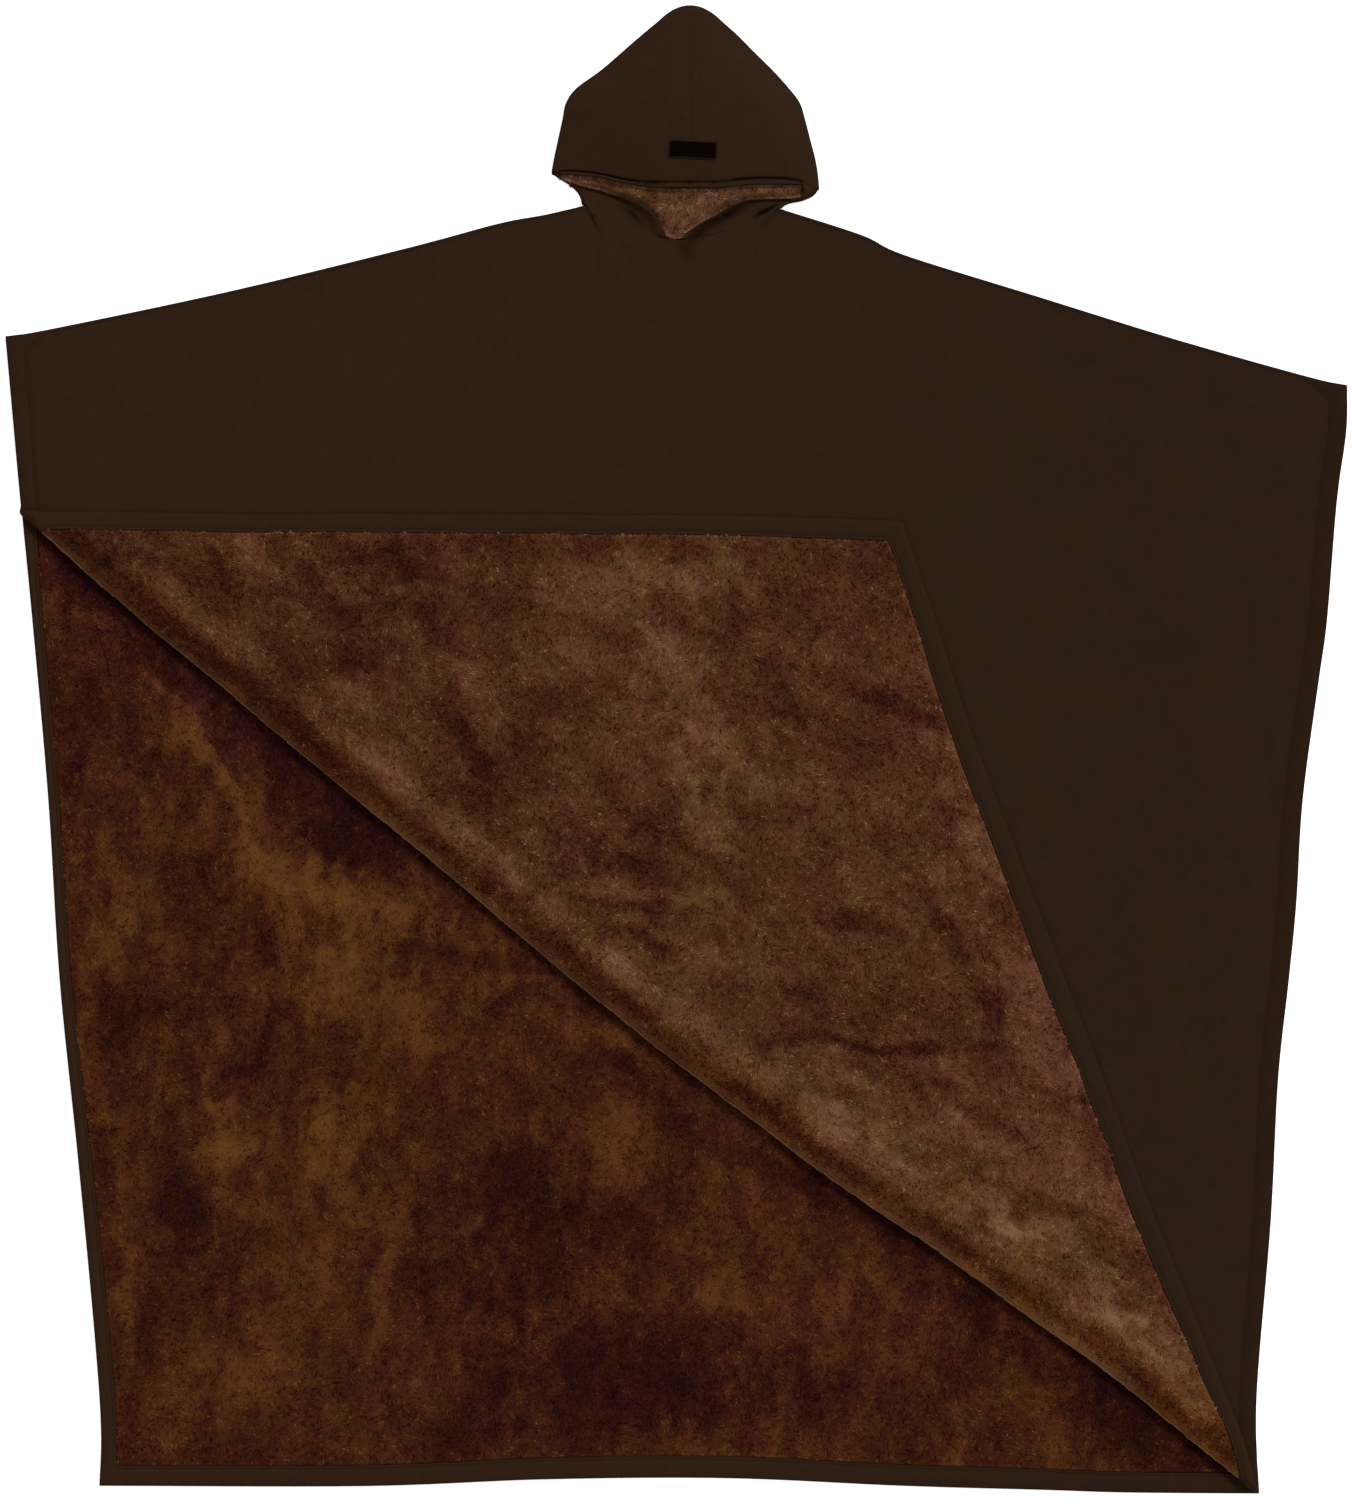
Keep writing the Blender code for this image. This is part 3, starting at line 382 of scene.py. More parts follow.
def noise(points, size, seed, octaves=3):
    """Smooth value noise from -1 to 1: random heights on a square lattice of this size, blended between its
    corners, summed over octaves that are each twice as fine and half as strong."""
    lattice = np.random.default_rng(seed).uniform(-1, 1, (LATTICE, LATTICE))
    total = np.zeros(len(points))
    weight = 1.0
    for octave in range(octaves):
        p = points[:, :2] * (2**octave) / size + OCTAVE_SHIFT * octave + FIRST_CELL
        cell = np.floor(p).astype(int)
        f = p - cell
        f = f * f * (3 - 2 * f)
        i, j = cell[:, 0] % LATTICE, cell[:, 1] % LATTICE
        i2, j2 = (i + 1) % LATTICE, (j + 1) % LATTICE
        low = lattice[i, j] * (1 - f[:, 0]) + lattice[i2, j] * f[:, 0]
        high = lattice[i, j2] * (1 - f[:, 0]) + lattice[i2, j2] * f[:, 0]
        total += weight * (low * (1 - f[:, 1]) + high * f[:, 1])
        weight *= 0.5
    return total / (2 - 2 * weight) * 1.6


def turned(points, x, y, turn):
    """Distances of points along and across a line through x, y that is turned by these degrees."""
    angle = math.radians(turn)
    moved = points - (x, y)
    return moved @ (math.cos(angle), math.sin(angle)), moved @ (-math.sin(angle), math.cos(angle))


def bells(points, table):
    """Sum of soft ridges, each a bell across its width and along its length, as high as its last column."""
    total = np.zeros(len(points))
    for x, y, turn, length, width, height in table:
        a, b = turned(points[:, :2], x, y, turn)
        total += height * np.exp(-((a / length) ** 2) - (b / width) ** 2)
    return total


# The fold

FOLD_U = (FOLD_END - FOLD_START) / np.linalg.norm(FOLD_END - FOLD_START)
FOLD_N = np.array([-FOLD_U[1], FOLD_U[0]])


def sag(along):
    """How far the fold lies under its straight line."""
    s, y = BOW[:, 0], BOW[:, 1]
    slope = np.gradient(y, s)
    k = np.clip(np.searchsorted(s, along) - 1, 0, len(s) - 2)
    width = s[k + 1] - s[k]
    t = np.clip((along - s[k]) / width, 0, 1)
    return hermite(t, y[k], y[k + 1], slope[k] * width, slope[k + 1] * width)


def to_fold(points):
    """Distance along the fold and across it, positive on the side that lies flat."""
    moved = np.asarray(points) - FOLD_START
    along = moved @ FOLD_U
    return np.column_stack([along, moved @ FOLD_N + sag(along)])


def from_fold(places):
    """Points at these distances along the fold and across it."""
    along, across = places[:, 0], places[:, 1]
    return FOLD_START + along[:, None] * FOLD_U + (across - sag(along))[:, None] * FOLD_N


def unfolded(points):
    """Where points of the flap, as it lies, are on the panel opened flat."""
    places = to_fold(points)
    places[:, 1] = -places[:, 1] - math.pi * FOLD_RADIUS
    return from_fold(places)


def place_front(points, depth):
    """The front in space: flat, then round the fold, then back over itself as the flap."""
    places = to_fold(points)
    along, across = places[:, 0], places[:, 1]
    angle = np.clip(-across / FOLD_RADIUS, 0, math.pi)
    past = np.maximum(-across - math.pi * FOLD_RADIUS, 0)
    radius = FOLD_RADIUS + depth
    wander = 1.1 * noise(np.column_stack([along, 0 * along]), 70.0, 5, 2) * np.sin(angle / 2)
    reach = np.maximum(across, 0) - radius * np.sin(angle) + past + wander
    plan = from_fold(np.column_stack([along, reach]))
    settle = 0.5 * (1 + np.cos(np.pi * np.clip(past / TEARDROP, 0, 1)))
    top = STACK + GAP + (2 * FOLD_RADIUS - GAP) * settle + depth
    low = STACK + FOLD_RADIUS - radius * np.cos(angle)
    height = np.where(past > 0, top, low)
    flat = bells(plan, FRONT_SWELLS) + bells(plan, SHELL_CREASES) + 0.5 * noise(plan, 150.0, 3, 2)
    height += np.where(across > 0, np.maximum(flat, -0.6) * ease(across / 30), 0)
    loose = bells(plan, FLAP_SWELLS) + bells(plan, FLAP_CREASES) + 0.7 * noise(plan, 120.0, 4, 2)
    height += np.where(past > 0, np.maximum(loose, -0.8) * (1 - settle), 0)
    return np.column_stack([plan, height])


def place_back(points, depth):
    """The back in space, lying on the floor, with soft creases where its pile shows."""
    shown = 1 - ease((to_fold(points)[:, 1] + 40) / 50)
    lift = bells(points, BACK_CREASES) + 0.8 * noise(points, 110.0, 6, 2)
    lift = np.maximum(lift, -1.2) * shown * ease((depth - 1.0) / 2.0)
    return np.column_stack([points, depth + lift])


# Panels


class Edge:
    """A run of an outline. Past its ends it goes straight on. Widths are its hem's, by distance along it."""

    def __init__(self, points, widths):
        steps = np.linalg.norm(np.diff(points, axis=0), axis=1)
        self.points = points
        self.run = np.concatenate([[0.0], np.cumsum(steps)])
        self.length = self.run[-1]
        ways = smoothed(np.gradient(points, axis=0) / np.gradient(self.run)[:, None], 4)
        self.ways = ways / np.linalg.norm(ways, axis=1)[:, None]
        self.widths = np.array(widths, float)
        self.along = to_fold(points)[:, 0]

    def read(self, table, run):
        """A table of the edge's points or ways, read at distances along it."""
        return np.column_stack([np.interp(run, self.run, table[:, k]) for k in (0, 1)])

    def inset(self, run, distance, start, end):
        """Points a distance inside the edge. Start and end say how far its ends draw in for each unit."""
        moved = run + distance * (start * (1 - run / self.length) - end * run / self.length)
        way = self.read(self.ways, moved)
        way /= np.linalg.norm(way, axis=1)[:, None]
        past = moved - np.clip(moved, 0, self.length)
        spot = self.read(self.points, moved) + past[:, None] * way
        return spot + distance[:, None] * np.column_stack([-way[:, 1], way[:, 0]])

    def width(self, run):
        """Width of the hem at distances along the edge."""
        return np.interp(run, self.widths[:, 0], self.widths[:, 1])


def half_turn(first, second):
    """Cotangent of half the inner angle where one edge ends and the next starts."""
    a, b = first.ways[-1], second.ways[0]
    cross, dot = a[0] * b[1] - a[1] * b[0], a @ b
    return math.tan(math.atan2(cross, dot) / 2)


class Panel:
    """A panel of cloth cut to an outline: its low edges run from the first corner to the last, in the order
    of growing distance along the fold, and its high edges run back. Columns join one to the other. They are a
    pitch apart, and closer where an edge is steep or an extra row (middle, half length, step) says so."""

    def __init__(self, low, high, pitch, extra=()):
        self.edges = low + high
        keys = [low[0].along[0]] + [edge.along[-1] for edge in low] + [edge.along[0] for edge in high[1:]]
        keys = np.unique(np.round(keys, 6))
        spots = np.arange(keys[0], keys[-1], 0.5)
        slope = np.ones(len(spots))
        for edge in self.edges:
            order = np.argsort(edge.along)
            steep = np.gradient(edge.run[order], edge.along[order] + 1e-6 * np.arange(len(order)))
            inside = (spots >= edge.along.min()) & (spots <= edge.along.max())
            found = np.abs(np.interp(spots, edge.along[order], steep))
            slope = np.where(inside, np.maximum(slope, np.minimum(found, 6)), slope)
        density = slope / pitch
        for middle, half, step in extra:
            density = np.maximum(density, np.where(abs(spots - middle) < half, 1 / step, 0))
        density = np.convolve(np.pad(density, 8, mode="edge"), np.ones(17) / 17, "valid")
        columns = [keys[:1]]
        for start, end in zip(keys, keys[1:]):
            inner = np.linspace(start, end, max(2, int((end - start) / 0.25)))
            total = np.concatenate([[0], np.cumsum(np.interp(inner, spots, density)[1:] * np.diff(inner))])
            count = max(1, int(math.ceil(total[-1])))
            columns.append(np.interp(np.arange(1, count + 1) / count * total[-1], total, inner))
        self.columns = np.concatenate(columns)
        self.runs = []
        for k, edge in enumerate(self.edges):
            span = self.columns if k < len(low) else self.columns[::-1]
            low_end, high_end = edge.along.min() - 1e-4, edge.along.max() + 1e-4
            span = span[(span >= low_end) & (span <= high_end)]
            order = np.argsort(edge.along)
            self.runs.append(np.interp(span, edge.along[order], edge.run[order])[:-1])
        self.turns = [half_turn(self.edges[k - 1], edge) for k, edge in enumerate(self.edges)]

    def ring(self, distance, share=0.0):
        """The outline drawn in by a distance, plus this share of its hem's width."""
        parts = []
        for k, edge in enumerate(self.edges):
            run = self.runs[k]
            amount = distance + share * edge.width(run)
            end = self.turns[(k + 1) % len(self.edges)]
            parts.append(edge.inset(run, amount, self.turns[k], end))
        return np.vstack(parts)

    def sides(self, ring):
        """A ring as its low and its high side, each from the first corner to the last."""
        count = len(self.columns)
        back = np.concatenate([[0], np.arange(len(ring) - 1, count - 2, -1)])
        return ring[:count], ring[back]


def seam_widths(length):
    """Seam allowance that widens to the hem's width at a panel's corner, for an edge that ends there."""
    return ((0, SEAM_HEM), (length - SEAM_TAPER, SEAM_HEM), (length, HEM))


def upper_edges(neck_table):
    """Right shoulder, neck and left shoulder, with their seam allowance."""
    right = Edge(fine(RIGHT_SHOULDER), ((0, HEM), (SEAM_TAPER, SEAM_HEM)))
    neck = Edge(fine(neck_table, 2.0), ((0, SEAM_HEM),))
    points = fine(LEFT_SHOULDER)
    length = np.linalg.norm(np.diff(points, axis=0), axis=1).sum()
    return [right, neck, Edge(points, seam_widths(length))]


def back_panel(pitch):
    """The back as it lies: the left side and the bottom run low, the right side, shoulders and neck high."""
    low = [Edge(fine(LEFT_SIDE), LEFT_HEM), Edge(fine(BOTTOM), BOTTOM_HEM)]
    high = [Edge(fine(RIGHT_SIDE), SIDE_HEM)] + upper_edges(BACK_NECK)
    return Panel(low, high, pitch)


def fold_entry():
    """Distance along the fold where the left side meets it."""
    places = to_fold(fine(LEFT_SIDE))
    k = int(np.argmax(places[:, 1] < 0))
    part = places[k - 1, 1] / (places[k - 1, 1] - places[k, 1])
    return places[k - 1, 0] + part * (places[k, 0] - places[k - 1, 0])


def front_panel(pitch, extra):
    """The front opened flat. Its left edge goes on past the fold as the flap's top."""
    side = fine(LEFT_SIDE)
    side = side[to_fold(side)[:, 1] > 6]
    across = np.linspace(0, -2 * abs(FOLD_MIDDLE), 5)
    turn = from_fold(np.column_stack([fold_entry() - across * FOLD_ENTRY, across]))
    left = smoothed(np.vstack([side, turn, unfolded(fine(FLAP_TOP))]), 6)
    across = np.linspace(2 * FOLD_MIDDLE, FOLD_MIDDLE, 3)
    turn = from_fold(np.column_stack([CORNER_S + (across - FOLD_MIDDLE) * BOTTOM_RUN, across]))
    flap = unfolded(fine(FLAP_SIDE))
    bottom = smoothed(np.vstack([flap, turn]), 6)
    across = np.linspace(FOLD_MIDDLE, 0, 3)
    turn = from_fold(np.column_stack([CORNER_S + (across - FOLD_MIDDLE) * RIGHT_RUN, across]))
    side = fine(RIGHT_SIDE)
    right = smoothed(np.vstack([turn, side[to_fold(side)[:, 1] > 20]]), 6)
    low = [Edge(left, FLAP_TOP_HEM), Edge(bottom, FLAP_SIDE_HEM)]
    high = [Edge(right, SIDE_HEM)] + upper_edges(FRONT_NECK)
    return Panel(low, high, pitch, extra)


def between(low, high, pieces, near_low=(0.0,), near_high=(0.0,)):
    """Rows from one side to the other: at set distances from each where there is room, and even between."""
    step = high - low
    length = np.maximum(np.linalg.norm(step, axis=1), 1e-9)
    near_low, near_high = np.array(near_low, float), np.array(near_high, float)
    ends = near_low[-1] + near_high[-1]
    room = np.minimum(1, 0.8 * length / max(ends, 1e-9))
    first = near_low[:, None] * room
    last = length - near_high[::-1, None] * room
    middle = np.linspace(0, 1, pieces + 1)[1:-1, None]
    inner = first[-1] * (1 - middle) + last[0] * middle
    share = np.vstack([first, inner, last]) / length
    return low + share[:, :, None] * step


def raw_piece(name, points, loops, starts, uv, attributes, smooth):
    """An object from points in millimetres, its faces' corners and where each face's corners start."""
    mesh = bpy.data.meshes.new(name)
    mesh.vertices.add(len(points))
    mesh.vertices.foreach_set("co", (points * MM).astype(np.float32).ravel())
    mesh.loops.add(len(loops))
    mesh.loops.foreach_set("vertex_index", loops.astype(np.int32))
    mesh.polygons.add(len(starts))
    mesh.polygons.foreach_set("loop_start", starts.astype(np.int32))
    mesh.update(calc_edges=True)
    mesh.polygons.foreach_set("use_smooth", np.full(len(starts), smooth))
    if uv is not None:
        layer = mesh.uv_layers.new(name="OFBake")
        layer.data.foreach_set("uv", uv[loops].astype(np.float32).ravel())
    for key, values in attributes.items():
        held = mesh.attributes.new(key, "FLOAT", "POINT")
        held.data.foreach_set("value", values.astype(np.float32))
    obj = bpy.data.objects.new(name, mesh)
    bpy.context.scene.collection.objects.link(obj)
    return obj


def many_piece(name, points, faces, uv=None, attributes=None):
    """Many small flat-sided things as one object: their points are kept apart, their faces are triangles."""
    starts = 3 * np.arange(len(faces))
    return raw_piece(name, points, faces.ravel(), starts, uv, attributes or {}, False)


def mesh_piece(name, points, faces, uv, attributes, smooth=True):
    """An object from points in millimetres and quads, with a map of where each point is on the cut.

    Points that coincide are made one, and faces that this flattens are dropped.
    """
    _, first, index = np.unique(np.round(points, 3), axis=0, return_index=True, return_inverse=True)
    faces = index.reshape(-1)[faces]
    same = faces == np.roll(faces, -1, axis=1)
    whole = faces[~same.any(axis=1)]
    flat = faces[same.sum(axis=1) == 1]
    keep = ~(flat == np.roll(flat, -1, axis=1))
    loops = np.concatenate([whole.ravel(), flat[keep]])
    starts = np.concatenate([4 * np.arange(len(whole)), 4 * len(whole) + 3 * np.arange(len(flat))])
    attributes = {key: values[first] for key, values in attributes.items()}
    obj = raw_piece(name, points[first], loops, starts, uv[first], attributes, smooth)
    obj.data.validate()
    return obj


def grid_faces(rows, columns, start=0, closed=False):
    """Quads over rows and columns of points, wound so that they face up when rows run up the right way."""
    i = np.arange(rows - 1)[:, None]
    j = np.arange(columns if closed else columns - 1)[None, :]
    a = i * columns + j
    b = i * columns + (j + 1) % columns
    return start + np.stack([a, b, b + columns, a + columns], axis=-1).reshape(-1, 4)


def cut_map(points):
    """A point's place on the flat cut, as shares of a square that holds the whole cut."""
    return (points + CUT_SQUARE / 2) / CUT_SQUARE


def attached(obj, material, nodes=()):
    """Give an object its material and slot, on the garment's one body, in place of these nodes."""
    obj.data.materials.append(material)
    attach(obj, "root")
    if nodes:
        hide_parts(*nodes)


def crossing(low, high, across):
    """Where each line from the low to the high side has this distance across the fold, or its nearer end."""
    share = np.clip((across - low[:, 1]) / np.maximum(high[:, 1] - low[:, 1], 1e-6), 0, 1)
    return low + share[:, None] * (high - low)


# How far the closest rows lie from the fold's middle
FOLD_ROWS = (0.0, 0.5, 1.0, 1.5, 2.0, 2.5, 3.0, 4.0, 6.0, 9.0, 13.0, 18.0, 24.0)


def split_rows(low, high, across, near, first_pieces, last_pieces):
    """Rows of a panel's cut from low to high side, in two runs that meet at a distance across the fold."""
    low, high = to_fold(low), to_fold(high)
    middle = crossing(low, high, across)
    first = between(low, middle, first_pieces, near_high=near)
    return np.vstack([first, between(middle, high, last_pieces, near_low=near)[1:]])


# A shell's edge from its outer face over the lining: distance in, share of the hem's width, depth, shade
HEM_PROFILE = (
    (4.5, 1.0, 0.0, 0.0),
    (-1.3, 1.0, 0.0, 0.1),
    (-2.0, 1.0, 0.3, 0.25),
    (-2.8, 1.0, 0.3, 0.25),
    (-3.5, 1.0, 0.0, 0.1),
    (2.0, 0.0, 0.0, 0.1),
    (1.0, 0.0, 0.25, 0.45),
    (0.3, 0.0, 1.0, 0.65),
    (0.0, 0.0, 2.0, 0.65),
    (0.3, 0.0, 3.1, 0.35),
    (1.1, 0.0, 3.9, 0.1),
    (2.4, 0.0, 4.35, 0.0),
    (0.0, 0.35, 4.6, 0.0),
    (0.0, 0.62, 4.5, 0.0),
    (-4.4, 1.0, 4.25, 0.0),
    (-3.6, 1.0, 3.9, 0.15),
    (-2.8, 1.0, 3.9, 0.15),
    (-2.0, 1.0, 4.3, 0.0),
    (-0.8, 1.0, 4.45, 0.0),
    (-0.1, 1.0, 4.1, 0.2),
    (0.1, 1.0, 3.3, 0.6),
    (-0.6, 1.0, 2.75, 0.8),
    (-4.0, 1.0, 2.7, 0.8),
)

# The last of its rings on the outer face, and the depth past which it is the hem's face over the lining
OUTER_RINGS = 5
HEM_FACE = 3.5

# Rows of stitches on a hem: distance in, share of its width, depth, way out of the cloth
STITCH_ROWS = ((-2.4, 1.0, 0.12, -1), (-3.2, 1.0, 4.02, 1))
STITCH_START = 8.0
STITCH_PERIOD = 3.4
STITCH_LENGTH = 2.6
STITCH_WIDTH = 0.7
STITCH_CROWN = 0.3


def hem_wave(points):
    """How far the hem's face over the lining lies above or below its even depth."""
    return 0.35 * noise(points, 60.0, 11, 2)


def stitch_piece(name, ends, sides, crowns):
    """Stitches as eight-sided beads: each has two ends, two sides, and a crown above and below."""
    points = np.stack([ends[0], sides[0], ends[1], sides[1], crowns[0], crowns[1]], axis=1)
    turn = [(k, (k + 1) % 4, 4) for k in range(4)] + [((k + 1) % 4, k, 5) for k in range(4)]
    faces = (6 * np.arange(len(points))[:, None, None] + np.array(turn)).reshape(-1, 3)
    return many_piece(name, points.reshape(-1, 3), faces)


def hem_stitches(name, panel, place):
    """Rows of stitches round a panel's hems, on its outer face and on the hem's face over the lining."""
    parts = []
    for k, edge in enumerate(panel.edges[:3]):
        run = np.arange(STITCH_START, edge.length - STITCH_START, STITCH_PERIOD)
        end = panel.turns[k + 1]
        for distance, share, depth, way in STITCH_ROWS:
            amount = distance + share * edge.width(run)
            a = edge.inset(run, amount, panel.turns[k], end)
            b = edge.inset(run + STITCH_LENGTH, amount, panel.turns[k], end)
            middle, step = (a + b) / 2, b - a
            across = np.column_stack([-step[:, 1], step[:, 0]]) / np.linalg.norm(step, axis=1)[:, None]
            across *= STITCH_WIDTH / 2
            wave = hem_wave(middle) * (depth > HEM_FACE)
            spots = [(spot, 0.0) for spot in (a, b, middle - across, middle + across)]
            spots += [(middle, STITCH_CROWN), (middle, -STITCH_CROWN)]
            parts.append([place(spot, depth + wave + way * lift) for spot, lift in spots])
    a, b, left, right, top, bottom = [np.vstack(column) for column in zip(*parts)]
    return stitch_piece(name, (a, b), (left, right), (top, bottom))


def shell_piece(name, panel, place, fold, flap_pieces, flat_pieces):
    """A panel's shell: rows over its outer face, then rings round its edge and over the lining as a hem."""
    rings = [panel.ring(row[0], row[1]) for row in HEM_PROFILE]
    low, high = panel.sides(rings[0])
    if fold:
        rows = split_rows(low, high, FOLD_MIDDLE, FOLD_ROWS, flap_pieces, flat_pieces)
    else:
        rows = between(to_fold(low), to_fold(high), flat_pieces)
    count, columns = rows.shape[:2]
    cut = from_fold(rows.reshape(-1, 2))
    points = [place(cut, np.zeros(len(cut)))]
    maps = [cut]
    around = len(rings[0])
    shade = np.concatenate([np.zeros(len(cut)), np.repeat([row[3] for row in HEM_PROFILE], around)])
    reached = 0.0
    for k, (_, share, depth, _) in enumerate(HEM_PROFILE):
        wave = hem_wave(rings[k]) * (share > 0) * (depth > HEM_FACE)
        points.append(place(rings[k], depth + wave))
        if k > OUTER_RINGS:
            step = np.median(np.linalg.norm(rings[k] - rings[k - 1], axis=1))
            reached += math.hypot(float(step), depth - HEM_PROFILE[k - 1][2])
        maps.append(panel.ring(HEM_PROFILE[OUTER_RINGS][0] - reached) if k > OUTER_RINGS else rings[k])
    hem_faces = grid_faces(len(HEM_PROFILE), around, count * columns, closed=True)[:, ::-1]
    faces = np.vstack([grid_faces(count, columns), hem_faces])
    return mesh_piece(name, np.vstack(points), faces, cut_map(np.vstack(maps)), {"shade": shade})


# Pile

# A lining from its pressed edge under the hem up to its pile: distance in, share of the hem, depth
PILE_EDGE = ((1.6, 0.0, 2.4), (-1.0, 1.0, 2.4), (0.2, 1.0, 2.8), (1.2, 1.0, 3.8), (3.0, 1.0, 4.1))

# Depth of the pile's even surface
PILE = 4.0

# How far a tuft's root lies in the pile
ROOT_DEPTH = 0.5

# How far under the fold the back's lining is built as finely as where it shows
UNDER_FOLD = 20.0


def pile_depth(points):
    """Depth of the pile's surface: clumps a few millimetres across on soft hollows."""
    return PILE + 0.32 * noise(points, 14.0, 21, 2) + 0.28 * noise(points, 5.0, 22, 1)


# How far the patches' edges wander, and the half width from which they do so in full
WANDER = 22.0
WANDER_WIDTH = 16.0


def patchy(plan, table):
    """Sum of the patches: each is full inside its ellipse and falls off across its edge, which is ragged
    because the distance from its middle is read at places that wander, and with noise added."""
    wander = np.column_stack([noise(plan, 52.0, 71, 4), noise(plan, 52.0, 72, 4)])
    ragged = 0.32 * noise(plan, 17.0, 75, 3) + 0.16 * noise(plan, 5.0, 76, 2)
    total = np.zeros(len(plan))
    for x, y, turn, length, width, tone in table:
        a, b = turned(plan + WANDER * min(1.0, width / WANDER_WIDTH) * wander, x, y, turn)
        total += tone * (1 - ease((np.hypot(a / length, b / width) + ragged - 0.45) / 0.9))
    return total


def partings(plan, seed):
    """Thin winding lines where the nap parts: where one noise is near nil, as strong as another lets them."""
    line = np.exp(-((noise(plan, 64.0, seed, 3) / 0.045) ** 2))
    return line * ease(1.6 * noise(plan, 75.0, seed + 1, 2))


def pile_plan(cut):
    """Where the front's pile lies, seen from above."""
    return place_front(cut, np.full(len(cut), PILE))[:, :2]


def flap_nap(cut):
    """Lightness of the front's nap from 0 to 1: broad patches, partings, mottle drawn along the fold, lighter
    low down and darker at the left, painted shade where the cloth rolls down beside the fold, a painted
    highlight on a band past it, and a painted highlight along its rim."""
    plan = pile_plan(cut)
    places = to_fold(cut)
    across = places[:, 1]
    past = np.maximum(-across - math.pi * FOLD_RADIUS, 0)
    angle = np.degrees(-across / FOLD_RADIUS)
    value = 0.49 + 0.23 * patchy(plan, FLAP_PATCHES) - 0.14 * partings(plan, 77)
    value += 0.07 * noise(plan, 80.0, 73, 4) + 0.10 * noise(places * (0.5, 1.0), 17.0, 74, 4)
    value += 0.07 * ease((-plan[:, 1] - 350) / 150) - 0.10 * (1 - ease((plan[:, 0] + 520) / 330))
    # Painted shade where the cloth rolls down beside the fold
    value -= 0.21 * np.exp(-(((past - 12) / 12) ** 2)) * (past > 0)
    # Painted highlight on a band past the roll
    value += 0.07 * np.exp(-(((past - 38) / 16) ** 2))
    # Painted highlight along the fold's rim
    value += 0.52 * np.exp(-(((angle - 112) / 24) ** 2))
    return value


def flap_cast(cut):
    """Cast of the front's nap: golden above nil and rosy below nil, with a golden tint beside the fold on
    the painted shade and rim highlight there.
    """
    plan = pile_plan(cut)
    past = -to_fold(cut)[:, 1] - math.pi * FOLD_RADIUS
    # Golden tint beside the fold, on its painted shade and rim highlight
    return bells(plan, FLAP_CASTS) + 1.4 * np.exp(-(((past - 11) / 14) ** 2))


def back_cast(cut):
    """Cast of the back's nap: golden above nil and purple below it, with a purple tint on the painted shade
    beside the fold.
    """
    past = np.maximum(-to_fold(cut)[:, 1], 0)
    # Purple tint beside the fold, on the painted shade there
    return bells(cut, BACK_CASTS) - 0.8 * np.exp(-((past / 30) ** 2))


def back_nap(cut):
    """Lightness of the back's nap from 0 to 1: broad patches, partings and mottle drawn out down the cloth,
    darker low down and at its upper left, and deep shade beside the fold that lies on it, most at the fold's
    ends."""
    places = to_fold(cut)
    past = np.maximum(-places[:, 1], 0)
    strong = np.exp(-(((places[:, 0] - 150) / 380) ** 2)) + np.exp(-(((places[:, 0] - 1600) / 160) ** 2))
    long = cut * (1.0, 0.45)
    value = 0.525 + 0.23 * np.clip(patchy(cut, BACK_PATCHES), -1.1, 0.75) - 0.12 * partings(long, 83)
    value += 0.08 * noise(long, 50.0, 81, 4) + 0.11 * noise(long, 14.0, 82, 4)
    low, high = ease(-cut[:, 1] / 500), ease((cut[:, 1] + 60) / 120)
    value -= 0.04 * low + 0.07 * high * ease((-470 - cut[:, 0]) / 100)
    beside = 0.26 * np.exp(-((past / 9) ** 2)) + 0.24 * np.exp(-((past / 30) ** 2))
    return value - (0.35 + 0.65 * strong) * beside


def hood_nap(plan):
    """Lightness of the hood's nap from 0 to 1: small mottle, with painted highlights along the face
    opening's edges.
    """
    value = 0.52 + 0.10 * noise(plan, 26.0, 91, 3) + 0.11 * noise(plan, 9.0, 92, 2)
    # Painted highlights along the opening's lower and upper edges
    rim = np.exp(-(((plan[:, 1] - opening_low(plan[:, 0]) - 1.2) / 2.2) ** 2))
    top = np.exp(-(((plan[:, 1] - opening_high(plan[:, 0]) + 1.0) / 1.8) ** 2))
    return value + 0.26 * rim + 0.22 * top


# Where each panel lies in space, and the lightness and the cast of its nap
BACK_LOOKS = (place_back, back_nap, back_cast)
FRONT_LOOKS = (place_front, flap_nap, flap_cast)


def lining_piece(name, panel, looks, fold, fine_pieces, plain_pieces):
    """A panel's lining: rings at its edge, and rows over its pile between them. Flat, the back's pile faces
    up and the front's, which is folded, faces down."""
    place, nap, cast = looks
    low_rings, high_rings = zip(*[panel.sides(panel.ring(d, share)) for d, share, _ in PILE_EDGE])
    across, near = (FOLD_MIDDLE, FOLD_ROWS) if fold else (UNDER_FOLD, (0.0,))
    inner = split_rows(low_rings[-1], high_rings[-1], across, near, fine_pieces, plain_pieces)
    first, last = [[to_fold(ring) for ring in rings] for rings in (low_rings[:-1], high_rings[-2::-1])]
    rows = np.concatenate([first, inner, last])
    cut = from_fold(rows.reshape(-1, 2))
    depth = pile_depth(cut).reshape(rows.shape[:2])
    for k, (_, _, pressed) in enumerate(PILE_EDGE[:-1]):
        depth[[k, -1 - k]] = pressed
    points = place(cut, depth.ravel())
    faces = grid_faces(*rows.shape[:2])
    if fold:
        faces = faces[:, ::-1]
    return mesh_piece(name, points, faces, cut_map(cut), {"nap": nap(cut), "cast": cast(cut)})


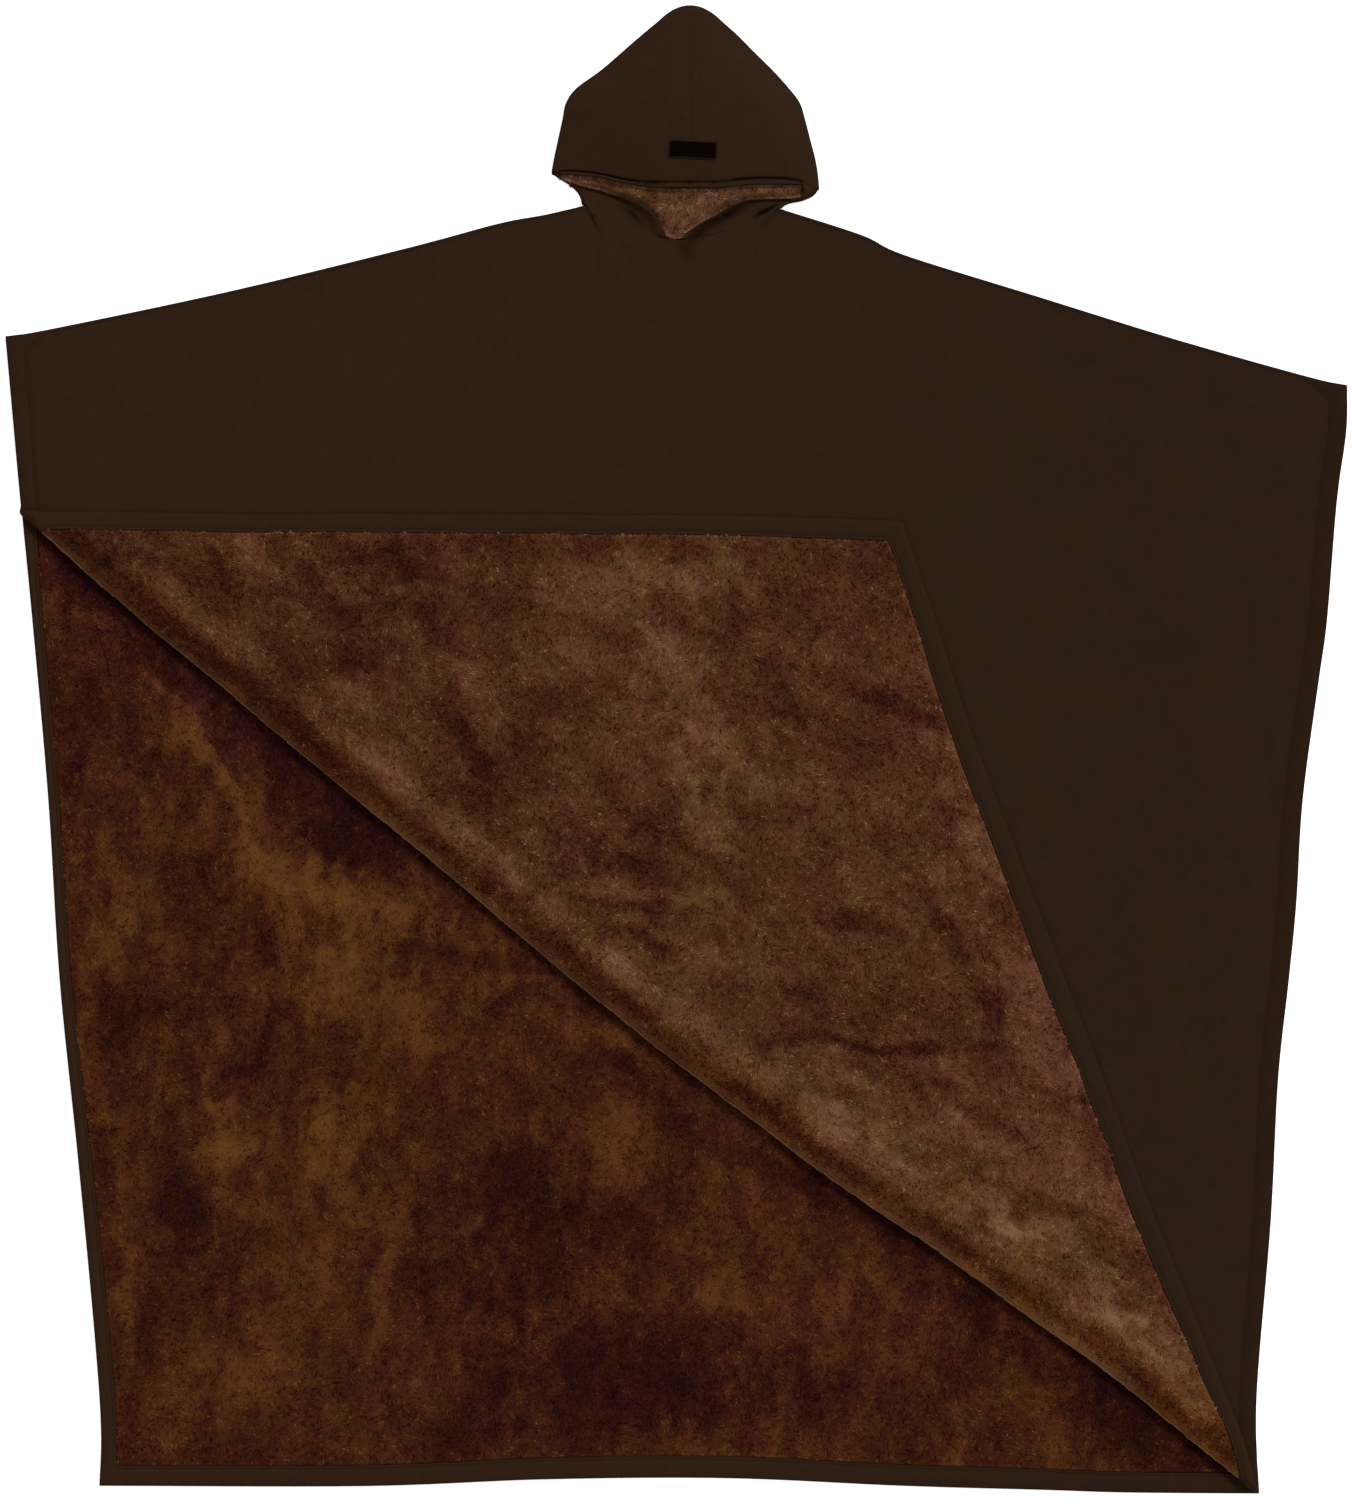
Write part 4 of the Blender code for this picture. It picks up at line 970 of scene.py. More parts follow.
def pile_roots(panel, spacing, seed, top, squeeze=1.0):
    """Roots of tufts on a panel's pile, on a shaken grid between the hem and a distance across the fold:
    along the fold, across it, and how far each is from the hem."""
    low, _ = panel.sides(panel.ring(0.7, 1.0))
    edge = to_fold(low)
    order = np.argsort(edge[:, 0])
    s = np.arange(edge[0, 0], edge[-1, 0], spacing)
    q = np.arange(edge[:, 1].min(), top, spacing * squeeze)
    grid = np.stack(np.meshgrid(s, q), axis=-1).reshape(-1, 2)
    shake = np.random.default_rng(seed).uniform(-0.5, 0.5, grid.shape) * (spacing, spacing * squeeze)
    grid = grid + shake
    floor = np.interp(grid[:, 0], edge[order, 0], edge[order, 1])
    keep = (grid[:, 1] > floor + 0.5) & (grid[:, 1] < top)
    return np.column_stack([grid, grid[:, 1] - floor])[keep]


def tufts(name, root, normal, nap, uv, seed, length, width, way, cast=None, calm=1.0):
    """Tufts as small ridged leaves: two sides fall from a crest at the root, and meet at a tip that leans
    along the nap. The nap's way turns slowly over the cloth. Dark tufts stand up more. Tufts come in clumps
    of like lightness, by as much as calm says. Each has its root's cast of colour."""
    random = np.random.default_rng(seed)
    count = len(root)
    angle = math.radians(way) + 1.3 * noise(root, 70.0, 31, 3) + 0.9 * noise(root, 12.0, 32, 1)
    angle += random.normal(0, 0.4, count)
    lean = np.column_stack([np.cos(angle), np.sin(angle), np.zeros(count)])
    lean -= (lean * normal).sum(axis=1)[:, None] * normal
    lean /= np.linalg.norm(lean, axis=1)[:, None] + 1e-12
    side = np.cross(normal, lean)
    tilt = np.clip(0.3 + 0.8 * (0.6 - nap) + random.normal(0, 0.15, count), 0.08, 1.2)
    long = (length * random.uniform(0.7, 1.25, count))[:, None]
    wide = (width * random.uniform(0.75, 1.25, count))[:, None]
    tip = root + long * (np.cos(tilt)[:, None] * lean + np.sin(tilt)[:, None] * normal)
    left = root + wide * side + 0.15 * long * lean - 0.2 * normal
    right = root - wide * side + 0.15 * long * lean - 0.2 * normal
    crest = root + 0.55 * wide * normal - 0.1 * long * lean
    points = np.stack([crest, left, right, tip], axis=1).reshape(-1, 3)
    base = 4 * np.arange(count)[:, None]
    faces = np.stack([base + (0, 3, 1), base + (0, 2, 3)], axis=1).reshape(-1, 3)
    clump = 0.14 * noise(root, 4.4, 33, 1) + 0.06 * noise(root, 9.0, 34, 1)
    value = nap + calm * (clump + random.normal(0, 0.11, count))
    # Corners low in the pile are painted darker, as shade between the tufts, and the crest and tip lighter,
    # as highlight
    shade = value[:, None] + (0.03, -0.12, -0.12, 0.05)
    spread = np.stack([uv, uv + (3e-4, 0), uv - (3e-4, 0), uv + (0, 3e-4)], axis=1).reshape(-1, 2)
    cast = np.zeros(count) if cast is None else cast
    return many_piece(name, points, faces, spread, {"nap": shade.ravel(), "cast": np.repeat(cast, 4)})


def panel_tufts(name, roots, looks, seed, way, calm=1.0):
    """Tufts rooted on a panel's pile, with a painted highlight along the hem. They are shorter and more alike
    where calm is under 1."""
    place, nap, cast = looks
    cut = from_fold(roots)
    # Painted highlight on the tufts along the hem
    pressed = 0.16 * np.exp(-((roots[:, 2] / 2.2) ** 2))
    held = settings()
    depth = pile_depth(cut)
    root = place(cut, depth - ROOT_DEPTH)
    normal = place(cut, depth) - root
    normal /= np.linalg.norm(normal, axis=1)[:, None]
    long, wide = held.tuft_length / MM * (0.5 + 0.5 * calm), held.tuft_width / MM / 2
    return tufts(name, root, normal, nap(cut) + pressed, cut_map(cut), seed, long, wide, way, cast(cut), calm)


# Hood

# Its rows above the brim, as row numbers of its table, the angles round its side folds, its columns back
# along the floor as shares of the width, and its columns under the brim
HOOD_K = np.concatenate([[0.0, 0.04, 0.08, 0.13, 0.2, 0.3], np.linspace(0.4, 9, 70)])
HOOD_ANGLES = np.radians(np.linspace(18, 180, 10))
HOOD_BACKS = np.linspace(1, 0, 24)[1:]
CHEEK_COLUMNS = 32
# Its lip at the face opening: way in, drop
CHEEK_LIP = ((2.2, 4.8), (0.4, 4.6), (-0.8, 3.5), (-1.1, 2.3), (-0.7, 1.0), (0.3, 0.2))
# Distance between its first rows, how far its lining lies under its shell, and the least radius of a roll
ROW_GAP = HOOD_ROWS[1, 0] - HOOD_ROWS[0, 0]
LINING_DEPTH = 2.6
LEAST_ROLL = 0.4
# Half widths at its brim and of its face opening, each left and right of the centre seam
HOOD_HALF = (149.6, 139.6)
OPENING_HALF = (146.0, 135.5)
# Where its neck seam's lap spreads from, how far it reaches and how far it lies over the chest
LAP_FROM = (CENTRE - 8, 640.0)
LAP_REACH = 6.0
LAP_GAP = 0.06
# Rows that round off the crown of its shell and of its lining
SHELL_CROWN = 14
LINING_CROWN = 10


def hood_tops(side):
    """Columns over the hood's top, as shares of its half width: over the face opening, then past it."""
    share = FACE_SHARE[side]
    return np.concatenate([np.linspace(0, share, 64)[:-1], np.linspace(share, 1, CHEEK_COLUMNS)])


def hood_side_table(side):
    """The side's outline from the neck seam to the peak, and the radius of the fold along it."""
    below = CHEEK_ROWS[side]
    above = HOOD_ROWS[:, 1:3] if side == "left" else HOOD_ROWS[:, 3:5]
    outer = np.vstack([below[:, 2:4], above])
    roll = np.concatenate([below[:, 6], np.full(len(above), ROLL)])
    return outer, roll


def hood_ends(side, k):
    """Centre of the side fold, its way outward and its radius, from the neck seam (k = 0) to the crown."""
    way = -1 if side == "left" else 1
    outer, roll = hood_side_table(side)
    steps = np.gradient(outer, axis=0)
    ways = way * np.column_stack([steps[:, 1], -steps[:, 0]]) / np.linalg.norm(steps, axis=1)[:, None]
    ways[0] = (way, 0.0)
    ways = catmull(ways, k)
    ways /= np.linalg.norm(ways, axis=1)[:, None]
    radius = np.interp(k, np.arange(len(roll)), roll)
    return catmull(outer, k) - radius[:, None] * ways, ways, radius


def side_columns(ends, ways, radius, depth):
    """Columns round the side fold, from the top to the floor."""
    reach = np.maximum(radius - depth, LEAST_ROLL)
    columns = []
    for angle in HOOD_ANGLES:
        plan = ends + ways * (reach * math.sin(angle))[:, None]
        columns.append(np.column_stack([plan, radius + reach * math.cos(angle)]))
    return columns


def hood_puckers(side, plan):
    """A shallow centre seam with small gathers beside it, and soft dents over the crown."""
    across = np.abs(plan[..., 0] - CENTRE)
    along = plan[..., 1]
    flat = plan.reshape(-1, 2)
    deep = 0.25 + 0.75 * ease((along - 645) / 30)
    seam = -0.55 * np.exp(-((across / 2.4) ** 2)) * ease((792 - along) / 30) * deep
    gather = 0.35 * np.sin(along / 2.7 + 1.5 * np.sin(along / 17)) * np.exp(-(((across - 4) / 5.0) ** 2))
    wide = 1.0 * noise(flat, 55.0, 41 if side == "left" else 42, 2).reshape(along.shape)
    return seam + gather * ease((790 - along) / 60) + wide * ease(across / 30) * ease((790 - along) / 60)


def brim_shift(side, t, low):
    """How far the brim's groove, or its bound edge if low, lies above the plain row, fading at its end."""
    table = BRIM_ROWS[side]
    wanted = np.interp(t, table[:, 0], table[:, 2 if low else 1])
    ends, _, _ = hood_ends(side, np.array([float(len(CHEEK_ROWS[side]))]))
    plain = HOOD_ROWS[0, 0] + (ends[0, 1] - HOOD_ROWS[0, 0]) * t**2
    return (wanted - plain) * (1 - ease((t - 0.96) / 0.04))


def hood_upper(side, depth, k):
    """The hood above the brim as rows by columns: over the top, round the side fold, back along the floor.
    Across the top its height falls from the centre as one less a power of the distance out."""
    rows = catmull(HOOD_ROWS, k)
    ends, ways, radius = hood_ends(side, k + len(CHEEK_ROWS[side]))
    middle = np.column_stack([np.full(len(k), CENTRE), rows[:, 0]])
    height = rows[:, 5]
    fade = 1 - ease(k / 3)
    share = FACE_SHARE[side]
    out = []
    for t in hood_tops(side):
        plan = middle + (ends - middle) * (t, t**2)
        plan[:, 1] += brim_shift(side, t, False) * fade
        rise = (height - STACK) * (1 - t**CROWN_POWER)
        puck = hood_puckers(side, plan) * (1 - t**6)
        groove = 2.0 * np.exp(-((k * ROW_GAP / 1.4) ** 2)) * (1 - ease((t - share + 0.02) / 0.03))
        out.append(np.column_stack([plan, STACK + rise + puck - groove * (depth == 0) - depth]))
    out += side_columns(ends, ways, radius, depth)
    for t in HOOD_BACKS:
        plan = middle + (ends - middle) * (t, t**2)
        out.append(np.column_stack([plan, np.full(len(k), depth)]))
    return np.stack(out, axis=1)


def hood_crown(last, depth, count):
    """Rows that round the last one off to the peak: y grows as a squared sine, width shrinks as a cosine."""
    rows = []
    peak = np.array([CENTRE, PEAK_Y - depth, ROLL])
    for turn in np.linspace(0, math.pi / 2, count + 1)[1:]:
        keep, w = math.cos(turn), math.sin(turn) ** 2
        row = last.copy()
        row[:, 0] = peak[0] + (last[:, 0] - peak[0]) * keep
        row[:, 1] = last[:, 1] + (peak[1] - last[:, 1]) * w
        row[:, 2] = ROLL + (last[:, 2] - ROLL) * keep
        rows.append(row)
    return np.array(rows)


def cheek_rows(side, depth, brim):
    """The hood below the brim, from the neck seam up: a rolled lip at the face opening, across to the side
    fold, round it, and back along the floor. The lip stands over the chest and falls away from the opening as
    a bell."""
    table = CHEEK_ROWS[side]
    last = len(table)
    spots = np.concatenate([np.linspace(0, 1, 8)[:-1], np.linspace(1, last, 9 * last)[:-1]])
    first = len(hood_tops(side)) - CHEEK_COLUMNS
    corner = brim[first]
    knots = np.vstack([table, [corner[0], corner[1], 0, 0, corner[2] - STACK, 0, ROLL]])
    values = catmull(knots[:, [0, 1, 4, 5]], spots)
    straight = spots < 1
    values[straight, :2] = table[0, :2] + spots[straight, None] * (table[1, :2] - table[0, :2])
    edge, lift, kept = values[:, :2], np.maximum(values[:, 2], 0), np.maximum(values[:, 3], 0)
    ends, ways, radius = hood_ends(side, spots)
    neck = np.array(FRONT_NECK[3:] if side == "left" else FRONT_NECK[3::-1])
    shares = np.linspace(0, 1, CHEEK_COLUMNS)
    seam = catmull(neck, 3 * shares)
    span = ends - edge
    width = np.linalg.norm(span, axis=1)
    across = span / width[:, None]
    open_edge = ease((spots - 0.7) / 0.6)
    out = []
    for move, drop in CHEEK_LIP:
        plan = edge + across * (move * open_edge)[:, None]
        out.append(np.column_stack([plan, STACK + lift - drop * open_edge]))
    for m, t in enumerate(shares[1:]):
        t = t**1.35
        bulge = seam[m + 1] - (1 - shares[m + 1]) * seam[0] - shares[m + 1] * seam[-1]
        along = (1 - kept)[:, None] * t + kept[:, None] * shares[m + 1]
        plan = edge + along * span + kept[:, None] * bulge
        distance = along[:, 0] * width
        bell = np.exp(-((distance / 8.0) ** 2)) * (1 - along[:, 0] ** 4)
        hollow = 1.0 * np.exp(-(((distance - 13) / 5.0) ** 2)) * open_edge * (1 - along[:, 0] ** 2)
        base = STACK + (2 * radius - STACK) * ease(along[:, 0])
        out.append(np.column_stack([plan, base + lift * bell - hollow * np.minimum(1, width / 40)]))
    out += side_columns(ends, ways, radius, depth)
    low_neck = np.array(BACK_NECK[3:] if side == "left" else BACK_NECK[3::-1])[::-1]
    back = catmull(low_neck, np.linspace(0, 3, len(HOOD_BACKS) + 1)[1:])
    start = len(brim) - len(HOOD_BACKS)
    rise = (spots / last)[:, None]
    for m, t in enumerate(HOOD_BACKS):
        low, high = back[m], brim[start + m][:2]
        spread = ends - low_neck[0] * (1 - rise) - brim[start - 1][:2] * rise
        plan = low * (1 - rise) + high * rise + t * spread
        out.append(np.column_stack([plan, np.full(len(spots), depth)]))
    return on_chest(np.stack(out, axis=1), spots, len(CHEEK_LIP) + CHEEK_COLUMNS - 1)


def on_chest(rows, spots, count):
    """The rows' first columns lifted on to the front at the neck seam, with another row that laps over it."""
    seam = rows[0, :count].copy()
    front = place_front(seam[:, :2], np.zeros(count))[:, 2]
    step = front + GAP - seam[:, 2]
    near = 1 - ease(spots[:, None] / 1.0)
    rows = rows.copy()
    rows[:, :count, 2] += near * step
    lap = rows[:1].copy()
    way = seam[:, :2] - LAP_FROM
    way /= np.linalg.norm(way, axis=1)[:, None]
    reach = LAP_REACH * (1 - ease((np.arange(count) / (count - 1) - 0.75) / 0.25))
    lap[0, :count, :2] += reach[:, None] * way
    lap[0, :count, 2] = place_front(lap[0, :count, :2], np.zeros(count))[:, 2] + LAP_GAP
    return np.concatenate([lap, rows])


def brim_rows(side, upper):
    """The brim's binding, from its underside round its edge up to the groove, the upper part's first row."""
    count = len(hood_tops(side)) - CHEEK_COLUMNS + 1
    top = upper[0, :count]
    above = upper[5, :count, 2]
    tops = hood_tops(side)[:count]
    low = np.array([brim_shift(side, t, True) for t in tops])
    high = np.array([brim_shift(side, t, False) for t in tops])
    out = []
    for part, drop in BRIM_BINDING:
        row = top.copy()
        row[:, 1] += (low - high) * part
        row[:, 2] = above - drop * (1 - 0.35 * ease((tops - 0.9) / 0.1))
        out.append(row)
    out.append(top)
    return np.array(out)


def opening_low(x):
    """Lower edge of the face opening over the width."""
    left, right = CHEEK_ROWS["left"][1:, :2][::-1], CHEEK_ROWS["right"][2:, :2]
    path = np.vstack([left, right[:-2]])
    return np.interp(x, path[:, 0], path[:, 1])


def opening_high(x):
    """Upper edge of the face opening over the width, along the brim's bound edge."""
    left, right = BRIM_ROWS["left"], BRIM_ROWS["right"]
    low, high = CENTRE - left[::-1, 0] * OPENING_HALF[0], CENTRE + right[1:, 0] * OPENING_HALF[1]
    return np.interp(x, np.concatenate([low, high]), np.concatenate([left[::-1, 2], right[1:, 2]]))


def hood_floor(plan):
    """Height of the pile inside the hood, which swells up into the face opening."""
    x, y = plan[:, 0], plan[:, 1]
    left = np.abs(x - CENTRE) / np.where(x < CENTRE, *HOOD_HALF)
    room = (HOOD_ROWS[0, 5] - STACK) * np.maximum(1 - left**CROWN_POWER, 0) + STACK - 8.2
    near = 0.35 + 0.65 * ease((y - 560) / 45)
    swell = np.exp(-(((y - 594) / 46) ** 6))
    height = LINING_DEPTH + np.maximum(room, 0) * near * swell
    clear = ease((y - opening_low(x) + 1) / 9)
    low = np.minimum(height, 5.6)
    return low + (height - low) * clear + 0.25 * noise(plan, 7.0, 93, 2) * swell


def shade_of(plan):
    """Shade in the shell's creases, from the table of shades."""
    return np.clip(bells(plan, SHADES), 0, 1)


def groove_shade(side):
    """Shade along the brim's groove: deep in two arcs, faint in the middle."""
    t = hood_tops(side)
    start = 0.34 if side == "left" else 0.29
    share = FACE_SHARE[side]
    return (0.25 + 0.75 * ease((t - start) / 0.07)) * (1 - ease((t - share) / 0.03))


def hood_map(part, corner):
    """Place on the hood's cut of a part's points: its rows and columns at even steps from a corner."""
    rows, columns = part.shape[:2]
    spots = np.stack(np.meshgrid(np.arange(columns), np.arange(rows)), axis=-1).reshape(-1, 2) * HOOD_STEP
    return (spots + corner) / HOOD_SQUARE


def hood_shell(name, side):
    """Half of the hood's shell: its top with the bound brim, its side fold, its underside and its cheek."""
    upper = hood_upper(side, 0.0, HOOD_K)
    upper = np.vstack([upper, hood_crown(upper[-1], 0.0, SHELL_CROWN)])
    band = brim_rows(side, upper)
    first = band.shape[1] - 1
    lower = cheek_rows(side, 0.0, upper[0])
    lips = len(CHEEK_LIP)
    closing = np.concatenate([np.repeat(upper[0, first : first + 1], lips, axis=0), upper[0, first + 1 :]])
    lower = np.concatenate([lower, closing[None]])
    parts = (band, upper, lower)
    faces, start, shades = [], 0, []
    groove = groove_shade(side)
    for part in parts:
        rows, columns = part.shape[:2]
        faces.append(grid_faces(rows, columns, start))
        start += rows * columns
        shade = shade_of(part.reshape(-1, 3)[:, :2]).reshape(rows, columns)
        if part is band:
            shade[-1] = np.maximum(shade[-1], groove[:columns])
            shade[-2] = np.maximum(shade[-2], 0.5 * groove[:columns])
        else:
            round_side = slice(columns - len(HOOD_BACKS) - len(HOOD_ANGLES), columns - len(HOOD_BACKS))
            # Painted shade on the side fold, darkest where the hood turns down at its outline
            outline = 0.45 * np.exp(-(((HOOD_ANGLES - math.pi / 2) / 0.5) ** 2))
            shade[:, round_side] = np.maximum(shade[:, round_side], outline)
        if part is upper:
            near = np.exp(-((HOOD_K * ROW_GAP / 1.7) ** 2))[:, None]
            top = shade[: len(HOOD_K), : len(groove)]
            top[:] = np.maximum(top, near * groove)
        shades.append(shade.ravel())
    faces = np.vstack(faces)
    if side == "left":
        faces = faces[:, ::-1]
    points = np.vstack([part.reshape(-1, 3) for part in parts])
    maps = np.vstack([hood_map(part, corner) for part, corner in zip(parts, ((10, 10), (10, 60), (10, 400)))])
    return mesh_piece(name, points, faces, maps, {"shade": np.concatenate(shades)})


def hood_lining(name, side):
    """Half of the hood's lining: its top under the shell, its side, and the back that the opening shows."""
    upper = hood_upper(side, LINING_DEPTH, HOOD_K)
    upper = np.vstack([upper, hood_crown(upper[-1], LINING_DEPTH, LINING_CROWN)])
    lower = cheek_rows(side, LINING_DEPTH, upper[0])[1:, len(CHEEK_LIP) + CHEEK_COLUMNS - 1 :]
    lower = np.concatenate([lower, upper[None, 0, upper.shape[1] - lower.shape[1] :]])
    for part in (upper, lower):
        low = part[:, -len(HOOD_BACKS) :]
        swell = hood_floor(low.reshape(-1, 3)[:, :2]).reshape(low.shape[:2])
        low[..., 2] = np.maximum(low[..., 2], swell)
    points = np.vstack([upper.reshape(-1, 3), lower.reshape(-1, 3)])
    start = upper.shape[0] * upper.shape[1]
    faces = np.vstack([grid_faces(*upper.shape[:2]), grid_faces(*lower.shape[:2], start=start)])
    if side == "right":
        faces = faces[:, ::-1]
    maps = np.vstack([hood_map(upper, (10, 10)), hood_map(lower, (10, 400))])
    return mesh_piece(name, points, faces, maps, {"nap": hood_nap(points[:, :2])})


def hood_height(plan):
    """Height of the hood's outer face at plan points, weighed from the nearest points of its grid."""
    halves = [hood_upper(side, 0.0, HOOD_K)[:, : len(hood_tops(side))] for side in ("left", "right")]
    cloud = np.vstack([half.reshape(-1, 3) for half in halves])
    gap = ((plan[:, None, :] - cloud[None, :, :2]) ** 2).sum(axis=2)
    weight = 1 / (gap + 0.5) ** 2
    return (weight * cloud[None, :, 2]).sum(axis=1) / weight.sum(axis=1)


# Materials


def shader_tree(name):
    material = bpy.data.materials.new(name)
    material.use_nodes = True
    tree = material.node_tree
    return material, tree, tree.nodes["Principled BSDF"]


def feed(tree, made, inputs):
    """Link a node's inputs to the sockets given for them, and set those that are given values."""
    for key, value in inputs.items():
        if isinstance(value, bpy.types.NodeSocket):
            tree.links.new(value, made.inputs[key])
        else:
            made.inputs[key].default_value = value
    return made


def node(tree, kind, inputs, **settings):
    made = tree.nodes.new(kind)
    for key, value in settings.items():
        setattr(made, key, value)
    return feed(tree, made, inputs)


def object_coords(tree):
    return node(tree, "ShaderNodeTexCoord", {}).outputs["Object"]


def noise_node(tree, source, scale, detail=3.0, rough=0.55, bend=0.0):
    inputs = {"Vector": source, "Scale": scale, "Detail": detail, "Roughness": rough, "Distortion": bend}
    return node(tree, "ShaderNodeTexNoise", inputs).outputs["Fac"]


def wave_node(tree, source, way, scale):
    inputs = {"Vector": source, "Scale": scale}
    return node(tree, "ShaderNodeTexWave", inputs, wave_type="BANDS", bands_direction=way).outputs["Fac"]


def stretched(tree, source, scale):
    return node(tree, "ShaderNodeMapping", {"Vector": source, "Scale": scale}).outputs["Vector"]


def math_node(tree, how, *values):
    return node(tree, "ShaderNodeMath", dict(enumerate(values)), operation=how).outputs[0]


def attribute(tree, name):
    return node(tree, "ShaderNodeAttribute", {}, attribute_name=name).outputs["Fac"]


def ramp(tree, source, stops):
    made = node(tree, "ShaderNodeValToRGB", {"Fac": source})
    elements = made.color_ramp.elements
    while len(elements) < len(stops):
        elements.new(0.5)
    for element, (place, colour) in zip(elements, stops):
        element.position = place
        element.color = (*colour, 1.0)
    return made.outputs["Color"]


def mixed(tree, how, factor, a, b):
    a, b = [(*colour, 1.0) if isinstance(colour, tuple) else colour for colour in (a, b)]
    return node(tree, "ShaderNodeMix", {0: factor, 6: a, 7: b}, data_type="RGBA", blend_type=how).outputs[2]


def bump(tree, height, strength, distance):
    inputs = {"Height": height, "Strength": strength, "Distance": distance}
    return node(tree, "ShaderNodeBump", inputs).outputs["Normal"]


def cloth(tree, shader, colour, normal, level, rough):
    """Set up cloth that reflects little: its colour, its bumps, a low specular level and its roughness."""
    inputs = {"Base Color": colour, "Normal": normal, "Specular IOR Level": level, "Roughness": rough}
    feed(tree, shader, inputs)


def shell_cloth(name, colour, far_colour):
    """Close-woven microfibre: its colour cools a little from the left side to the right, with a soft cast
    that wanders between red and olive, and a fine plain weave. Shade darkens its creases."""
    material, tree, shader = shader_tree(name)
    coords = object_coords(tree)
    wide = noise_node(tree, coords, 22.0, 3.0, 0.55, 0.6)
    close = noise_node(tree, coords, 75.0, 3.0, 0.6)
    thread = noise_node(tree, stretched(tree, coords, (1.0, 0.15, 1.0)), 900.0, 2.0)
    across = node(tree, "ShaderNodeSeparateXYZ", {0: coords}).outputs["X"]
    side = math_node(tree, "MULTIPLY_ADD", across, 1.6, 0.25)
    side = math_node(tree, "MINIMUM", math_node(tree, "MAXIMUM", side, 0.0), 1.0)
    base = mixed(tree, "MIX", side, colour, far_colour)
    casts = ((0.32, (0.95, 1.0, 0.97)), (0.5, (1.0, 1.0, 1.0)), (0.68, (1.06, 0.98, 0.98)))
    flecks, fibres = [((0.3, (1 - share,) * 3), (0.7, (1 + share,) * 3)) for share in (0.05, 0.07)]
    for source, stops in ((wide, casts), (close, flecks), (thread, fibres)):
        base = mixed(tree, "MULTIPLY", 1.0, base, ramp(tree, source, stops))
    shade = math_node(tree, "MINIMUM", math_node(tree, "MULTIPLY", attribute(tree, "shade"), 0.92), 1.0)
    base = mixed(tree, "MULTIPLY", shade, base, (0.10, 0.075, 0.07))
    warp, weft = [wave_node(tree, coords, way, 260.0) for way in "XY"]
    height = math_node(tree, "MULTIPLY_ADD", close, 1.5, math_node(tree, "MULTIPLY", warp, weft))
    rough = math_node(tree, "MULTIPLY_ADD", close, 0.1, 0.82)
    cloth(tree, shader, base, bump(tree, height, 0.1, 0.0004), 0.025, rough)
    return material


def pile_cloth(name, tones):
    """Plush whose colour follows its nap's lightness, from dark and red through brown to pale tips, with fine
    grain between the fibres. Its cast turns it golden or purple."""
    material, tree, shader = shader_tree(name)
    coords = object_coords(tree)
    clumps = noise_node(tree, coords, 210.0, 3.0, 0.65)
    grain = noise_node(tree, coords, 620.0, 2.0, 0.6)
    hue = noise_node(tree, stretched(tree, coords, (1.0, 0.6, 1.0)), 26.0, 4.0, 0.6)
    value = math_node(tree, "MULTIPLY_ADD", clumps, 0.16, attribute(tree, "nap"))
    value = math_node(tree, "MULTIPLY_ADD", grain, 0.14, value)
    value = math_node(tree, "ADD", value, -0.15)
    base = ramp(tree, value, [(0.08 + 0.21 * k, tone) for k, tone in enumerate(tones)])
    hue = math_node(tree, "MULTIPLY_ADD", attribute(tree, "cast"), 0.2, hue)
    stops = (
        (0.2, (1.04, 0.95, 1.42)), (0.38, (1.06, 0.96, 1.08)), (0.5, (1.0, 1.0, 1.0)),
        (0.62, (0.98, 1.03, 0.88)), (0.8, (1.09, 1.0, 0.68)),
    )
    base = mixed(tree, "MULTIPLY", 1.0, base, ramp(tree, hue, stops))
    height = math_node(tree, "MULTIPLY_ADD", clumps, 1.5, grain)
    rough = math_node(tree, "MULTIPLY_ADD", clumps, 0.2, 0.75)
    cloth(tree, shader, base, bump(tree, height, 0.4, 0.0008), 0.03, rough)
    return material


def thread_cloth(name, colour):
    """Sewing thread: twisted strands, light and dark along their length."""
    material, tree, shader = shader_tree(name)
    strands = noise_node(tree, object_coords(tree), 1200.0, 2.0)
    base = ramp(tree, strands, ((0.35, colour), (0.7, tuple(1.5 * c for c in colour))))
    cloth(tree, shader, base, bump(tree, strands, 0.4, 0.0003), 0.1, 0.6)
    return material


def hook_cloth(name, colour):
    """Hook tape: a dark woven ground with rows of tiny stiff hooks, and a lighter border."""
    material, tree, shader = shader_tree(name)
    coords = object_coords(tree)
    rows, fuzz = wave_node(tree, coords, "Y", 150.0), noise_node(tree, coords, 800.0, 2.0)
    hooks = math_node(tree, "MULTIPLY", rows, fuzz)
    ground = ramp(tree, hooks, ((0.1, colour), (0.8, tuple(2.0 * c for c in colour))))
    base = mixed(tree, "MIX", attribute(tree, "border"), ground, srgb(40, 30, 20))
    cloth(tree, shader, base, bump(tree, hooks, 0.5, 0.0005), 0.0, 0.95)
    return material


def srgb(*values):
    """Linear colour from eight-bit values."""
    made = []
    for v in values:
        v = v / 255
        made.append(v / 12.92 if v <= 0.04045 else ((v + 0.055) / 1.055) ** 2.4)
    return tuple(made)


def toned(table):
    """Linear colours of a table of tones, as the bright light needs them."""
    share = settings().light_share
    return tuple(tuple(share * c for c in srgb(*row)) for row in table)


# Tones of the pile from its darkest nap to its lightest, as they look in the photo
FLAP_TONES = ((42, 16, 9), (59, 27, 15), (81, 46, 25), (103, 68, 43), (134, 100, 73))
BACK_TONES = ((38, 12, 11), (49, 18, 12), (66, 31, 15), (90, 52, 22), (108, 70, 32))
HOOD_TONES = ((62, 32, 17), (80, 47, 27), (98, 63, 39), (118, 83, 58), (150, 118, 92))


# Settings and operators


def length_setting(name, description, default):
    return FloatProperty(name=name, description=description, default=default, unit="LENGTH")


def colour_setting(name, description, *values):
    default = srgb(*values)
    return FloatVectorProperty(name=name, description=description, default=default, subtype="COLOR", size=3)


